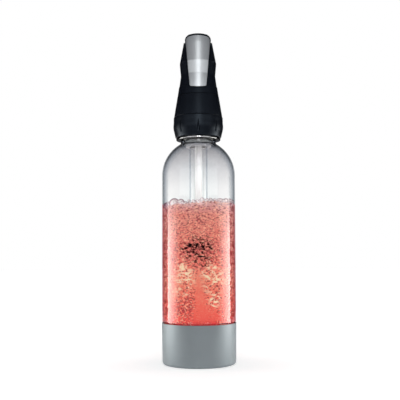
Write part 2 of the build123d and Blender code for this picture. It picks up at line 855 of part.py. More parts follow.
def make_lever_cover():
    return lever_prism(0) & (lever_crown(0) - lever_crown(cover_thickness))


def make_lever_core():
    behind_cover = cover_thickness + bond_gap
    outline = lever_prism(core_rim, core_rim_top)
    side = make_face(
        Polyline(
            (-reach, lever_bottom - lever_overrun),
            (-pivot_front, lever_bottom - lever_overrun),
            (-pivot_front, bulge_height + boss_radius),
            (-core_back_upper, lever_upper_height),
            (-core_back_top, lever_top + lever_overrun),
            (-reach, lever_top + lever_overrun),
            close=True,
        )
    )
    core = outline & lever_crown(behind_cover) & extrude(Plane.YZ * side, reach / 2, both=True)
    below_boss = Pos(0, 0, bulge_height - boss_radius - reach / 2) * Box(reach, reach, reach)
    core -= lever_crown(behind_cover + tail_thickness) & below_boss
    core += outline & pivot_bar(boss_radius, reach / 2)
    arm_length = pivot_front + arm_overshoot
    arm = Pos(0, arm_overshoot - arm_length / 2, arm_bottom + arm_height / 2) * Box(
        2 * arm_half_width, arm_length, arm_height
    )
    return core + arm - pivot_bar(pin_radius + running_fit, reach / 2)


def make_lever_pin():
    return pivot_bar(pin_radius, pin_half_length)


# --- tube, charger and push rod ------------------------------------------------------------
def make_infusion_tube():
    inner = tube_radius - tube_wall
    return turned(
        (inner, tube_bottom),
        (tube_radius, tube_bottom),
        (tube_radius, tube_flange_bottom),
        (tube_flange_radius, tube_flange_bottom),
        (tube_flange_radius, tube_top),
        (inner, tube_top),
    )


def charger_curve(inset, tip_radius):
    """Side of the gas charger as edges, from its neck to the top of its dome."""
    side = charger_radius - inset
    neck = charger_neck_radius - inset
    neck_end = charger_bottom + charger_neck_length
    shoulder_end = neck_end + charger_shoulder
    diagonal = math.sqrt(0.5) * side
    return [
        Polyline((tip_radius, charger_bottom + inset), (neck, charger_bottom + inset), (neck, neck_end),
                 (side, shoulder_end), (side, dome_height)),
        ThreePointArc((side, dome_height), (diagonal, dome_height + diagonal), (0, dome_height + side)),
    ]


def make_charger():
    top = Line((0, charger_top), (0, charger_top - charger_wall))
    hole = Line((charger_hole, charger_bottom), (charger_hole, charger_bottom + charger_wall))
    wall = charger_curve(0, charger_hole) + [top] + charger_curve(charger_wall, charger_hole) + [hole]
    return revolve(Plane.XZ * make_face(wall), Axis.Z)


def make_rod_foot():
    rim = dome_height + ball_height(charger_radius, rod_foot_radius) + free_gap
    foot = shaft(rod_foot_radius, rim, foot_top)
    foot -= Pos(0, 0, dome_height) * Sphere(charger_radius + rod_foot_gap)
    return foot - shaft(rod_radius + bond_gap, foot_top - rod_foot_socket, foot_top)


def make_push_rod():
    rod = ring(rod_radius - rod_wall, rod_radius, foot_top - rod_foot_socket + bond_gap, rod_top)
    flat_length = web_thickness + rod_travel + 2 * rod_flat_margin
    flat_middle = (tube_socket_top + chamber_floor - rod_travel) / 2
    rod -= Pos(0, 2 * rod_radius - rod_flat, flat_middle) * Box(4 * rod_radius, 2 * rod_radius, flat_length)
    widths = (rod_thread_root_width, rod_thread_crest_width)
    return rod + thread_ridge(
        rod_radius, rod_thread_depth, rod_thread_lead, rod_thread_turns, rod_thread_start, widths, left=True
    )


# --- diffuser ------------------------------------------------------------------------------
def make_diffuser_cap():
    bore = tube_radius + bond_gap
    chamber = check_disc_radius + 2 * free_gap
    top = cap_bottom + cap_height
    chamber_top = pin_block_bottom - bond_gap
    cap = turned(
        (0, cap_bottom),
        (cap_radius - cap_edge, cap_bottom),
        (cap_radius, cap_bottom + cap_edge),
        (cap_radius, top - cap_edge),
        (cap_radius - cap_edge, top),
        (bore, top),
        (bore, chamber_top),
        (chamber, chamber_top),
        (chamber, cap_bottom + cap_floor),
        (0, cap_bottom + cap_floor),
    )
    for place in around(cap_hole_count, cap_hole_circle):
        cap -= place * shaft(cap_hole_radius, cap_bottom, cap_bottom + cap_floor)
    for place in around(cap_rib_count, cap_radius + cap_edge / 2):
        cap -= place * shaft(cap_edge, cap_bottom + 2 * cap_edge, top - 2 * cap_edge)
    return cap


def make_pin_block():
    block = shaft(tube_radius - bond_gap, pin_block_bottom, pin_block_top)
    block += shaft(pin_boss_radius, pin_block_bottom, pin_boss_top)
    block -= shaft(check_stem_radius + bond_gap, pin_block_bottom, needle_bottom)
    return block - shaft(needle_radius + bond_gap / 2, pin_block_bottom, pin_boss_top)


def make_piercing_pin():
    tip = charger_bottom + needle_reach
    return turned(
        (needle_bore, needle_bottom),
        (needle_radius, needle_bottom),
        (needle_radius, tip - 2 * needle_radius),
        (needle_tip_radius, tip),
        (needle_bore, tip),
    )


def make_pin_gasket():
    low = pin_boss_top + seat_gap
    return ring(needle_radius + bond_gap, pin_gasket_radius, low, low + pin_gasket_height)


def make_check_valve():
    disc_top = pin_block_bottom - seat_gap
    valve = shaft(check_disc_radius, disc_top - check_disc_height, disc_top)
    return valve + shaft(check_stem_radius, disc_top, needle_bottom - seat_gap)


# --- write one file for each piece ---------------------------------------------------------
pieces = {
    "bottle": make_bottle(),
    "base_cup": make_base_cup(),
    "drink": make_drink(),
    "neck_gasket": make_neck_gasket(),
    "neck_insert": make_neck_insert(),
    "tube_nut": make_tube_nut(),
    "tube_oring": make_tube_oring(),
    "screw_collar": make_screw_collar(),
    "cone_housing": make_cone_housing(),
    "cone_screws": screw_circle(cone_screw_length, cone_inner_floor, cone_screw_circle, 30),
    "bearing_plate": make_bearing_plate(),
    "plate_screws": screw_circle(plate_screw_length, plate_top - screw_head_height, post_circle, 90),
    "valve_core": make_valve_core(),
    "core_oring": make_core_oring(),
    "core_nut": make_core_nut(),
    "vent_bush": make_vent_bush(),
    "vent_stem": make_vent_stem(),
    "vent_seal": make_vent_seal(),
    "vent_spring": make_vent_spring(),
    "band_ring": make_band_ring(),
    "handle_housing": make_handle_housing(),
    "lever_cover": make_lever_cover(),
    "lever_core": make_lever_core(),
    "lever_pin": make_lever_pin(),
    "infusion_tube": make_infusion_tube(),
    "charger": make_charger(),
    "rod_foot": make_rod_foot(),
    "push_rod": make_push_rod(),
    "diffuser_cap": make_diffuser_cap(),
    "pin_block": make_pin_block(),
    "piercing_pin": make_piercing_pin(),
    "pin_gasket": make_pin_gasket(),
    "check_valve": make_check_valve(),
}

os.makedirs("parts", exist_ok=True)
for name, shape in pieces.items():
    export_step(shape, f"parts/{name}.step")
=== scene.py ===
import math
import random

import bpy
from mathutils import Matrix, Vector, noise


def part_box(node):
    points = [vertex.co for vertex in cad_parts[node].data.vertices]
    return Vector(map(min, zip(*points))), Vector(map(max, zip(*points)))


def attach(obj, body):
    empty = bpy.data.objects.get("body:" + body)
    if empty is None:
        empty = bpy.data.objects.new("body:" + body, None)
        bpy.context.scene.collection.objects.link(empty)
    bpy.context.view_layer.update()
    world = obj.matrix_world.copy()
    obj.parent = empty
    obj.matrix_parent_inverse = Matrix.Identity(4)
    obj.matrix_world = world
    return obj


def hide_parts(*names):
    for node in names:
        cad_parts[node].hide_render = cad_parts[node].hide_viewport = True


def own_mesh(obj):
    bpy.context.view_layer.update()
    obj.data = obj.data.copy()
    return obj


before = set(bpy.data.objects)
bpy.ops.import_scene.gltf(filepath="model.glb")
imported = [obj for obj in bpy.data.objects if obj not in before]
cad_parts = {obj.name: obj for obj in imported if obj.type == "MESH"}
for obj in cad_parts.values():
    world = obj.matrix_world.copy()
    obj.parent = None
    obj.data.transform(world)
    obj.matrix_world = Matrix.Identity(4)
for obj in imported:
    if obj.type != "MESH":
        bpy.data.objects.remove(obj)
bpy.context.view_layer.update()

MM = 0.001  # sizes below are in millimetres, and Blender works in metres
ROUND_STEPS = 128  # faces around the bottle and the head
SAME_PLACE = 1e-7  # corners this near each other, in metres, are one corner
WELD = 1e-6  # vertices this near each other, in metres, are merged
SMOOTH_BELOW = 35  # degrees: edges sharper than this stay crisp

# --- sizes of the bottle and of what it holds, heights from the table ----------------------------
BOTTLE_RADIUS = 42.2
BOTTLE_WALL = 1.2
FOOT_RADIUS = 40.85
FOOT_MIDDLE = 43.95  # height of the middle of the round bottom
STEP = (46.8, 48.15)  # where the foot widens to the straight side
SHOULDER = 214.2  # where the straight side ends and the ball-shaped shoulder starts
NECK_RADIUS = 20.3
NECK_BORE = 16.9
FLANGE = (255.397, 257.597)
FLANGE_RADIUS = 25.6
FINISH_RADIUS = 19.6  # of the threaded part of the neck
RIM = 275.497
THREAD_CREST = 1.4  # how far the thread stands out
THREAD_ROOT = 0.3  # how deep its foot lies in the neck
THREAD_PITCH = 4.5
THREAD_TURNS = 2.3

CUP_RADIUS = 42.45
CUP_BORE = 41.05
CUP_RIM = 46.5

TUBE_BORE = 9.4
TUBE_RADIUS = 10.5
TUBE_END = 74
TUBE_FLANGE = (258.997, 260.997)
TUBE_FLANGE_RADIUS = 12.7

DRINK_LEVEL = 181
DRINK_GAP = 0.06  # between the drink and the wall
TUBE_ROOM = 10.6  # radius of the room that the drink leaves for the tube
CAP_ROOM = (12.8, 65.6, 97.4)  # radius, foot and top of the room for the tube's cap and its rise
SWELL = 2.0  # how much higher the drink stands at the right, measured from the middle
RIPPLE_HEIGHT = 2.2
RIPPLE_LENGTH = 13
RIPPLE_REACH = 6  # how far the ripples reach down into the drink

# Heights where the look of the bottle's wall changes.
EDGE_DARKENS = (222, 248)
NECK_SOLID = (248, 253)
COLLAR_SHADE = (254.3, 255.6)
FLANGE_FACE = 255.2
WALL_RAMP = 280  # height over which the ramp of the painted shade towards the neck runs


# --- modelling helpers -----------------------------------------------------------------------
def deselect():
    """Leaves nothing selected, so that an operator acts on the next piece alone."""
    if bpy.context.object and bpy.context.object.mode != "OBJECT":
        bpy.ops.object.mode_set(mode="OBJECT")
    bpy.ops.object.select_all(action="DESELECT")


def choose(piece):
    """Selects one piece alone and makes it the active one."""
    deselect()
    bpy.context.view_layer.objects.active = piece
    piece.select_set(True)


def edit(piece):
    """Opens a piece in edit mode with nothing selected."""
    choose(piece)
    bpy.ops.object.mode_set(mode="EDIT")
    bpy.ops.mesh.select_all(action="DESELECT")


def pick(piece, test):
    """In edit mode, selects only the vertices whose place passes a test."""
    bpy.ops.mesh.select_all(action="DESELECT")
    bpy.ops.mesh.select_mode(type="VERT")
    bpy.ops.object.mode_set(mode="OBJECT")
    for vertex in piece.data.vertices:
        vertex.select = test(vertex.co)
    bpy.ops.object.mode_set(mode="EDIT")


def face_outwards():
    """Turns the selected faces outwards, and leaves edit mode."""
    bpy.ops.mesh.normals_make_consistent(inside=False)
    bpy.ops.object.mode_set(mode="OBJECT")


def finish_modifier(piece, kind, **settings):
    """Adds a modifier with its settings and applies it."""
    choose(piece)
    modifier = piece.modifiers.new(kind.lower(), kind)
    for name, value in settings.items():
        setattr(modifier, name, value)
    bpy.ops.object.modifier_apply(modifier=modifier.name)


def ease_edges(piece, width, segments, degrees):
    """Rounds every edge that is sharper than an angle, width in millimetres."""
    finish_modifier(piece, "BEVEL", width=width * MM, segments=segments, limit_method="ANGLE",
                    angle_limit=math.radians(degrees))


def wind(piece, turns, rise, steps):
    """Winds an outline about the upright axis, as a thread or a coil, rise in millimetres over all turns."""
    finish_modifier(piece, "SCREW", angle=2 * math.pi * turns, screw_offset=rise * MM, steps=steps,
                    render_steps=steps, use_merge_vertices=False)


def smooth(piece):
    """Smooth shading, with the sharper edges kept crisp."""
    choose(piece)
    bpy.ops.object.shade_smooth_by_angle(angle=math.radians(SMOOTH_BELOW))


def joined(name, pieces):
    """Several pieces as one mesh, called by one name."""
    deselect()
    for piece in pieces:
        piece.select_set(True)
    bpy.context.view_layer.objects.active = pieces[0]
    if len(pieces) > 1:
        bpy.ops.object.join()
    pieces[0].name = name
    pieces[0].data.name = name
    return pieces[0]


def settle(piece):
    """Moves the object's place and turn into its mesh."""
    choose(piece)
    bpy.ops.object.transform_apply(location=True, rotation=True, scale=True)


def arc(middle_radius, middle_height, radius, start, end, count):
    """Corners along an arc of a turned outline, angles in degrees from straight outwards."""
    corners = []
    for i in range(count + 1):
        angle = math.radians(start + (end - start) * i / count)
        corners.append((middle_radius + radius * math.cos(angle), middle_height + radius * math.sin(angle)))
    return corners


def draw_outline(name, corners, closed=True):
    """Draws an outline of (radius, height[, rounding]) corners in the plane y = 0, edge by edge."""
    deselect()
    start = Vector((corners[0][0] * MM, 0, corners[0][1] * MM))
    bpy.ops.mesh.primitive_plane_add(size=MM, location=(0, 0, 0))
    piece = bpy.context.object
    piece.name = name
    bpy.ops.object.mode_set(mode="EDIT")
    bpy.ops.mesh.merge(type="CENTER")
    bpy.ops.transform.translate(value=start)
    here = start
    for corner in corners[1:]:
        there = Vector((corner[0] * MM, 0, corner[1] * MM))
        bpy.ops.mesh.extrude_region_move(TRANSFORM_OT_translate={"value": there - here})
        here = there
    if closed:
        pick(piece, lambda co: (co - here).length < SAME_PLACE or (co - start).length < SAME_PLACE)
        bpy.ops.mesh.edge_face_add()
    for corner in corners:
        if len(corner) > 2:
            place = Vector((corner[0] * MM, 0, corner[1] * MM))
            pick(piece, lambda co: (co - place).length < SAME_PLACE)
            bpy.ops.mesh.bevel(offset=corner[2] * MM, segments=4, affect="VERTICES")
    return piece


def turned(name, corners, closed=True, steps=ROUND_STEPS):
    """Turns an outline about the upright axis. It is closed, or starts and ends on the axis."""
    piece = draw_outline(name, corners, closed)
    bpy.ops.mesh.select_all(action="SELECT")
    bpy.ops.mesh.spin(steps=steps, angle=2 * math.pi, center=(0, 0, 0), axis=(0, 0, 1))
    bpy.ops.mesh.select_all(action="SELECT")
    bpy.ops.mesh.remove_doubles(threshold=WELD)
    face_outwards()
    return piece


def carve(piece, cutters):
    """Takes the cutters' shapes out of a piece."""
    cutter = joined("cutter", cutters)
    finish_modifier(piece, "BOOLEAN", operation="DIFFERENCE", solver="EXACT", object=cutter)
    bpy.data.objects.remove(cutter)


def placed_around(count, circle, first_angle):
    """Evenly spaced places on a circle about the axis, as (x, y) in millimetres."""
    places = []
    for i in range(count):
        angle = math.radians(first_angle + 360 * i / count)
        places.append((circle * math.cos(angle), circle * math.sin(angle)))
    return places


def node_copy(node):
    """A CAD node's mesh as a piece of its own, with its loose triangles merged."""
    copy = bpy.data.objects.new(node + "_copy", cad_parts[node].data.copy())
    bpy.context.scene.collection.objects.link(copy)
    edit(copy)
    bpy.ops.mesh.customdata_custom_splitnormals_clear()
    bpy.ops.mesh.select_all(action="SELECT")
    bpy.ops.mesh.remove_doubles(threshold=WELD)
    bpy.ops.object.mode_set(mode="OBJECT")
    return copy


def dress(piece, material, body, slot, *nodes):
    """Gives a piece its material, the body it moves with and the nodes that it stands for."""
    piece.data.materials.clear()
    piece.data.materials.append(material)
    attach(piece, body)
    if nodes:
        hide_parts(*nodes)


# --- material helpers ------------------------------------------------------------------------
def colour(code):
    """An sRGB hex value as the linear colour that Blender works in."""
    channels = []
    for i in (0, 2, 4):
        value = int(code[i:i + 2], 16) / 255
        channels.append(value / 12.92 if value <= 0.04045 else ((value + 0.055) / 1.055) ** 2.4)
    return (*channels, 1.0)


def shades(*stops):
    """Stops of a colour ramp, from pairs of position and hex value."""
    return [(position, colour(code)) for position, code in stops]


def levels(*stops):
    """Stops of a colour ramp, from pairs of position and brightness."""
    return [(position, (level, level, level, 1.0)) for position, level in stops]


def new_material(name):
    """An empty material and its node tree."""
    material = bpy.data.materials.new(name)
    material.use_nodes = True
    material.node_tree.nodes.clear()
    return material, material.node_tree


def add(tree, kind, inputs=None, stops=(), **settings):
    """Adds a node with its settings, the stops of its colour ramp and its links.

    An input is given a plain value, an output to link from, or a node, whose first output in use is linked.
    Inputs that share a name go by their number: 0 and 1 are the terms of a Math node, 2 and 3 the numbers of
    a Mix node, and 6 and 7 its colours.
    """
    made = tree.nodes.new(kind)
    for name, value in settings.items():
        setattr(made, name, value)
    for name, value in (inputs or {}).items():
        if isinstance(value, bpy.types.Node):
            value = next(output for output in value.outputs if output.enabled)
        if isinstance(value, bpy.types.NodeSocket):
            tree.links.new(value, made.inputs[name])
        else:
            made.inputs[name].default_value = value
    if stops:
        elements = made.color_ramp.elements
        while len(elements) < len(stops):
            elements.new(0.5)
        for element, (position, value) in zip(elements, stops):
            element.position = position
            element.color = value
    return made


def layered(tree, under, layers):
    """Lays colours over one another. A layer is its colour, and the masks that multiply to where it lies."""
    for over, *masks in layers:
        where = masks[0]
        for mask in masks[1:]:
            where = add(tree, "ShaderNodeMath", {0: where, 1: mask}, operation="MULTIPLY")
        under = add(tree, "ShaderNodeMix", {0: where, 6: under, 7: over}, data_type="RGBA")
    return under


def patches(tree, place, rows):
    """Soft-edged patches as one mask. A row is a middle and a half size in millimetres, and a strength."""
    mask = 0.0
    for middle, half_size, strength in rows:
        moved = add(tree, "ShaderNodeVectorMath", {
            0: place, 1: [-value * MM for value in middle],
        }, operation="ADD")
        scaled = add(tree, "ShaderNodeVectorMath", {
            0: moved, 1: [1 / (value * MM) for value in half_size],
        }, operation="MULTIPLY")
        far = add(tree, "ShaderNodeVectorMath", {0: scaled}, operation="LENGTH")
        patch = add(tree, "ShaderNodeMapRange", {
            "Value": far, "From Min": 0.35, "From Max": 1.0, "To Min": strength, "To Max": 0.0,
        }, interpolation_type="SMOOTHSTEP")
        mask = add(tree, "ShaderNodeMath", {0: mask, 1: patch}, operation="MAXIMUM")
    return mask


def flecks(tree, place, size_mm, low, high, detail=2.0):
    """Irregular flecks of about one size, wider than tall: 1 inside a fleck, 0 between."""
    wide = add(tree, "ShaderNodeVectorMath", {0: place, 1: (0.8, 0.8, 1.3)}, operation="MULTIPLY")
    grain = add(tree, "ShaderNodeTexNoise", {
        "Vector": wide, "Scale": 1 / (size_mm * MM), "Detail": detail, "Roughness": 0.55, "Distortion": 0.6,
    })
    return add(tree, "ShaderNodeMapRange", {"Value": grain, "From Min": low, "From Max": high})


GLOSS_SPREAD = 0.04  # how far the gloss of a moulded face wanders
GLOSS_CLOUD = 25  # size of the areas over which it wanders


def moulded(name, code, roughness, grain_mm, grain_depth, **sockets):
    """A moulded plastic: one colour, a fine grain in the surface and a gloss that wanders a little.

    The grain of a real mould is about 0.1 mm, and is drawn coarser here so that it shows.
    """
    material, tree = new_material(name)
    place = add(tree, "ShaderNodeTexCoord").outputs["Object"]
    grain = add(tree, "ShaderNodeTexNoise", {"Vector": place, "Scale": 1 / (grain_mm * MM), "Detail": 3.0})
    cloud = add(tree, "ShaderNodeTexNoise", {
        "Vector": place, "Scale": 1 / (GLOSS_CLOUD * MM), "Detail": 2.0,
    })
    gloss = add(tree, "ShaderNodeMapRange", {
        "Value": cloud, "From Min": 0.3, "From Max": 0.7,
        "To Min": roughness - GLOSS_SPREAD, "To Max": roughness + GLOSS_SPREAD,
    })
    relief = add(tree, "ShaderNodeBump", {"Height": grain, "Strength": 0.25, "Distance": grain_depth * MM})
    base = colour(code)
    light = tuple(min(1.0, channel * 1.08) for channel in base[:3]) + (1.0,)
    tone = add(tree, "ShaderNodeValToRGB", {"Fac": cloud}, stops=[(0.35, base), (0.65, light)])
    shader = add(tree, "ShaderNodeBsdfPrincipled", {
        "Base Color": tone, "Roughness": gloss, "Normal": relief, **sockets,
    })
    add(tree, "ShaderNodeOutputMaterial", {"Surface": shader})
    return material


def metal(name, code, roughness, lay_mm, lay=(1.0, 1.0, 1.0)):
    """A metal with a lay from turning, drawing or polishing, stretched along an axis where lay is small.

    The lines of a real lay are a few hundredths of a millimetre apart, and are drawn coarser here so that
    they show.
    """
    material, tree = new_material(name)
    place = add(tree, "ShaderNodeTexCoord").outputs["Object"]
    stretched = add(tree, "ShaderNodeMapping", {"Vector": place, "Scale": lay})
    lines = add(tree, "ShaderNodeTexNoise", {"Vector": stretched, "Scale": 1 / (lay_mm * MM), "Detail": 4.0})
    gloss = add(tree, "ShaderNodeMapRange", {
        "Value": lines, "From Min": 0.3, "From Max": 0.7,
        "To Min": roughness * 0.8, "To Max": roughness * 1.25,
    })
    relief = add(tree, "ShaderNodeBump", {"Height": lines, "Strength": 0.05, "Distance": 0.01 * MM})
    shader = add(tree, "ShaderNodeBsdfPrincipled", {
        "Base Color": colour(code), "Metallic": 1.0, "Roughness": gloss, "Normal": relief,
    })
    add(tree, "ShaderNodeOutputMaterial", {"Surface": shader})
    return material


def bottle_tint(tree, place, facing, tint):
    """The tint of the bottle's wall, as it changes from the drink's level up to the neck."""
    height = add(tree, "ShaderNodeSeparateXYZ", {"Vector": place}).outputs["Z"]
    # Below the drink's level, its edges carry the drink's colour, mottled by bubbles.
    wet = add(tree, "ShaderNodeMapRange", {
        "Value": height, "From Min": (DRINK_LEVEL - 1) * MM, "From Max": (DRINK_LEVEL + 1) * MM,
        "To Min": 1.0, "To Max": 0.0,
    })
    wet_edge = add(tree, "ShaderNodeMapRange", {"Value": facing, "From Min": 0.45, "From Max": 0.55})
    wet_tint = add(tree, "ShaderNodeValToRGB", {"Fac": facing}, stops=shades(
        (0.0, "ffffff"), (0.42, "ffffff"), (0.5, "f2f4fc"), (0.75, "eaeef6"), (0.8, "dcb0b4")))
    wet_tint = layered(tree, wet_tint, [
        (colour("b88890"), flecks(tree, place, 5.0, 0.5, 0.6, 3.0), wet_edge, 0.6),
    ])
    tint = layered(tree, tint, [(wet_tint, wet)])
    # The wall is painted greyer towards the neck: painted shade.
    upwards = add(tree, "ShaderNodeMath", {0: height, 1: 1 / (WALL_RAMP * MM)}, operation="MULTIPLY")
    neck_shade = add(tree, "ShaderNodeValToRGB", {"Fac": upwards}, stops=shades(
        (200 / WALL_RAMP, "ffffff"), (228 / WALL_RAMP, "f5f5f6"), (241 / WALL_RAMP, "e9e9ea"),
        (251 / WALL_RAMP, "dcdcde")))
    tint = add(tree, "ShaderNodeMix", {0: 1.0, 6: tint, 7: neck_shade}, data_type="RGBA", blend_type="MULTIPLY")
    # The injection-moulded neck and its flange are solid, so they go dark towards their edges.
    solid = add(tree, "ShaderNodeMapRange", {
        "Value": height, "From Min": NECK_SOLID[0] * MM, "From Max": NECK_SOLID[1] * MM,
    })
    solid_tint = add(tree, "ShaderNodeValToRGB", {"Fac": facing}, stops=shades(
        (0.0, "f8f9fa"), (0.3, "eceef0"), (0.5, "b4b8c0"), (0.62, "4a4e56"), (0.8, "1c1f26")))
    # The corner under the flange is painted dark: a painted shadow of the black collar above it.
    over_corner = add(tree, "ShaderNodeMath", {0: height, 1: COLLAR_SHADE[0] * MM}, operation="GREATER_THAN")
    below_flange = add(tree, "ShaderNodeMath", {0: height, 1: COLLAR_SHADE[1] * MM}, operation="LESS_THAN")
    # The shoulder's edge is painted darker towards the neck: painted shade.
    edge_shade_rise = add(tree, "ShaderNodeMapRange", {
        "Value": height, "From Min": EDGE_DARKENS[0] * MM, "From Max": EDGE_DARKENS[1] * MM,
    })
    edge_on = add(tree, "ShaderNodeMapRange", {"Value": facing, "From Min": 0.72, "From Max": 0.9})
    return layered(tree, tint, [
        (solid_tint, solid),
        (colour("3a3c42"), over_corner, below_flange),
        (colour("3c4048"), edge_shade_rise, edge_on),
    ])


def bottle_shine(tree, place, facing, share):
    """How much the bottle's wall mirrors: the flange is polished, and the inner face doesn't shine."""
    height = add(tree, "ShaderNodeSeparateXYZ", {"Vector": place}).outputs["Z"]
    on_flange = add(tree, "ShaderNodeMath", {0: height, 1: FLANGE_FACE * MM}, operation="GREATER_THAN")
    polish = add(tree, "ShaderNodeMapRange", {
        "Value": facing, "From Min": 0.3, "From Max": 0.62, "To Min": 0.42, "To Max": 0.04,
    })
    share = add(tree, "ShaderNodeMix", {0: on_flange, 2: share, 3: polish})
    # A second set of highlights from the inner face would glint all over the shoulder. The outer face is
    # told by its distance from the axis, and above the straight side from the middle of the shoulder's ball.
    lowered = add(tree, "ShaderNodeVectorMath", {0: place, 1: (0, 0, -SHOULDER * MM)}, operation="ADD")
    upper = add(tree, "ShaderNodeVectorMath", {0: lowered, 1: (-1, -1, 0)}, operation="MAXIMUM")
    distance = add(tree, "ShaderNodeVectorMath", {0: upper}, operation="LENGTH")
    middle_of_wall = (BOTTLE_RADIUS - BOTTLE_WALL / 2) * MM
    outer_face = add(tree, "ShaderNodeMath", {0: distance, 1: middle_of_wall}, operation="GREATER_THAN")
    return add(tree, "ShaderNodeMath", {0: share, 1: outer_face}, operation="MULTIPLY")


def clear_wall(name, stops, roughness, least_shine, is_bottle=False):
    """A thin clear wall that shines: light goes straight through it, and is greyer near its outline."""
    material, tree = new_material(name)
    facing = add(tree, "ShaderNodeLayerWeight", {"Blend": 0.5}).outputs["Facing"]
    tint = add(tree, "ShaderNodeValToRGB", {"Fac": facing}, stops=shades(*stops))
    # The shine rises only where the wall is seen nearly edge on, so that its sides don't burn out.
    graze = add(tree, "ShaderNodeMath", {0: facing, 1: 12.0}, operation="POWER")
    share = add(tree, "ShaderNodeMapRange", {"Value": graze, "To Min": least_shine, "To Max": 1.0})
    if is_bottle:
        place = add(tree, "ShaderNodeTexCoord").outputs["Object"]
        tint = bottle_tint(tree, place, facing, tint)
        share = bottle_shine(tree, place, facing, share)
    through = add(tree, "ShaderNodeBsdfTransparent", {"Color": tint})
    shine = add(tree, "ShaderNodeBsdfGlossy", {"Color": (1, 1, 1, 1), "Roughness": roughness})
    from_inside = add(tree, "ShaderNodeNewGeometry").outputs["Backfacing"]
    shining = add(tree, "ShaderNodeMix", {0: from_inside, 2: share, 3: 0.0})
    wall = add(tree, "ShaderNodeMixShader", {0: shining, 1: through, 2: shine})
    add(tree, "ShaderNodeOutputMaterial", {"Surface": wall})
    return material


# --- materials: name, colour, roughness and the size of the pattern ---------------------------------
# Blow-moulded PET: water clear, grey where its wall is seen edge on, with a wet gloss.
pet = clear_wall("blow_moulded_pet", [
    (0.0, "fbfcfc"), (0.2, "fdfdfd"), (0.4, "fbfbfb"), (0.55, "f2f3f4"), (0.68, "e4e6e8"), (0.85, "d0d3d5"),
], roughness=0.03, least_shine=0.06, is_bottle=True)

# Extruded SAN tube: as clear as the bottle, with darker edge lines because its wall is thick for its size.
san = clear_wall("extruded_san", [
    (0.0, "ffffff"), (0.5, "ffffff"), (0.7, "f3f5f8"), (0.85, "d4dae0"), (0.95, "a4acb4"),
], roughness=0.04, least_shine=0.05)

# Moulded polypropylene with metal flake in it, blue-grey: a broad, soft sheen like satin aluminium.
grey_polypropylene = moulded("grey_polypropylene", "8b9397", roughness=0.52, grain_mm=0.5, grain_depth=0.02,
                             Metallic=0.6)

# Moulded ABS, black: satin, with weak highlights that have a bluish cast.
BLUE_CAST = {"Specular Tint": colour("d7ebff")}
black_abs = moulded("black_abs", "060911", roughness=0.42, grain_mm=0.6, grain_depth=0.01,
                    IOR=1.28, **BLUE_CAST)

# The collar's ABS comes out of a polished mould, so it is a little glossier than the rest.
collar_abs = moulded("gloss_black_abs", "060911", roughness=0.36, grain_mm=0.6, grain_depth=0.01,
                     IOR=1.34, **BLUE_CAST)

# Silver lacquer on ABS: reads as satin aluminium, with a very fine flake.
silver_lacquer = metal("silver_lacquer", "bec2c5", roughness=0.4, lay_mm=0.5)

# Acetal, natural: waxy off-white, for the turning and sealing parts inside.
acetal = moulded("natural_acetal", "e6e6e1", roughness=0.45, grain_mm=0.8, grain_depth=0.01)

# Drawn stainless steel: bright, with a lay along its length.
stainless = metal("drawn_stainless", "f2f2f2", roughness=0.42, lay_mm=0.6, lay=(1.0, 1.0, 0.05))

# Bead-blasted stainless steel: pale and even. Its faint glow is painted light, which brightens the rod
# and the tube's nut where they are seen through the clear walls.
blasted_steel = moulded("bead_blasted_stainless", "fafafa", roughness=0.5, grain_mm=0.5, grain_depth=0.01,
                        Metallic=0.2, **{"Emission Color": colour("fffaf8"), "Emission Strength": 0.18})

# Steel of the lever's pin, painted dark as painted shade so that it shows no glints beside the lever: a dull
# gleam.
pin_steel_painted_dark = metal("steel_painted_dark", "2c2d30", roughness=0.45, lay_mm=0.4)

# Turned brass: warm yellow with rings from the tool.
brass = metal("turned_brass", "c9a052", roughness=0.25, lay_mm=0.3, lay=(0.2, 0.2, 1.0))

# Nitrile rubber: dull black.
nitrile = moulded("nitrile_rubber", "161616", roughness=0.75, grain_mm=0.4, grain_depth=0.03)

# Zinc-plated steel of the gas charger: pale, slightly blue metal.
zinc = metal("zinc_plated_steel", "b6bcc2", roughness=0.28, lay_mm=1.5)


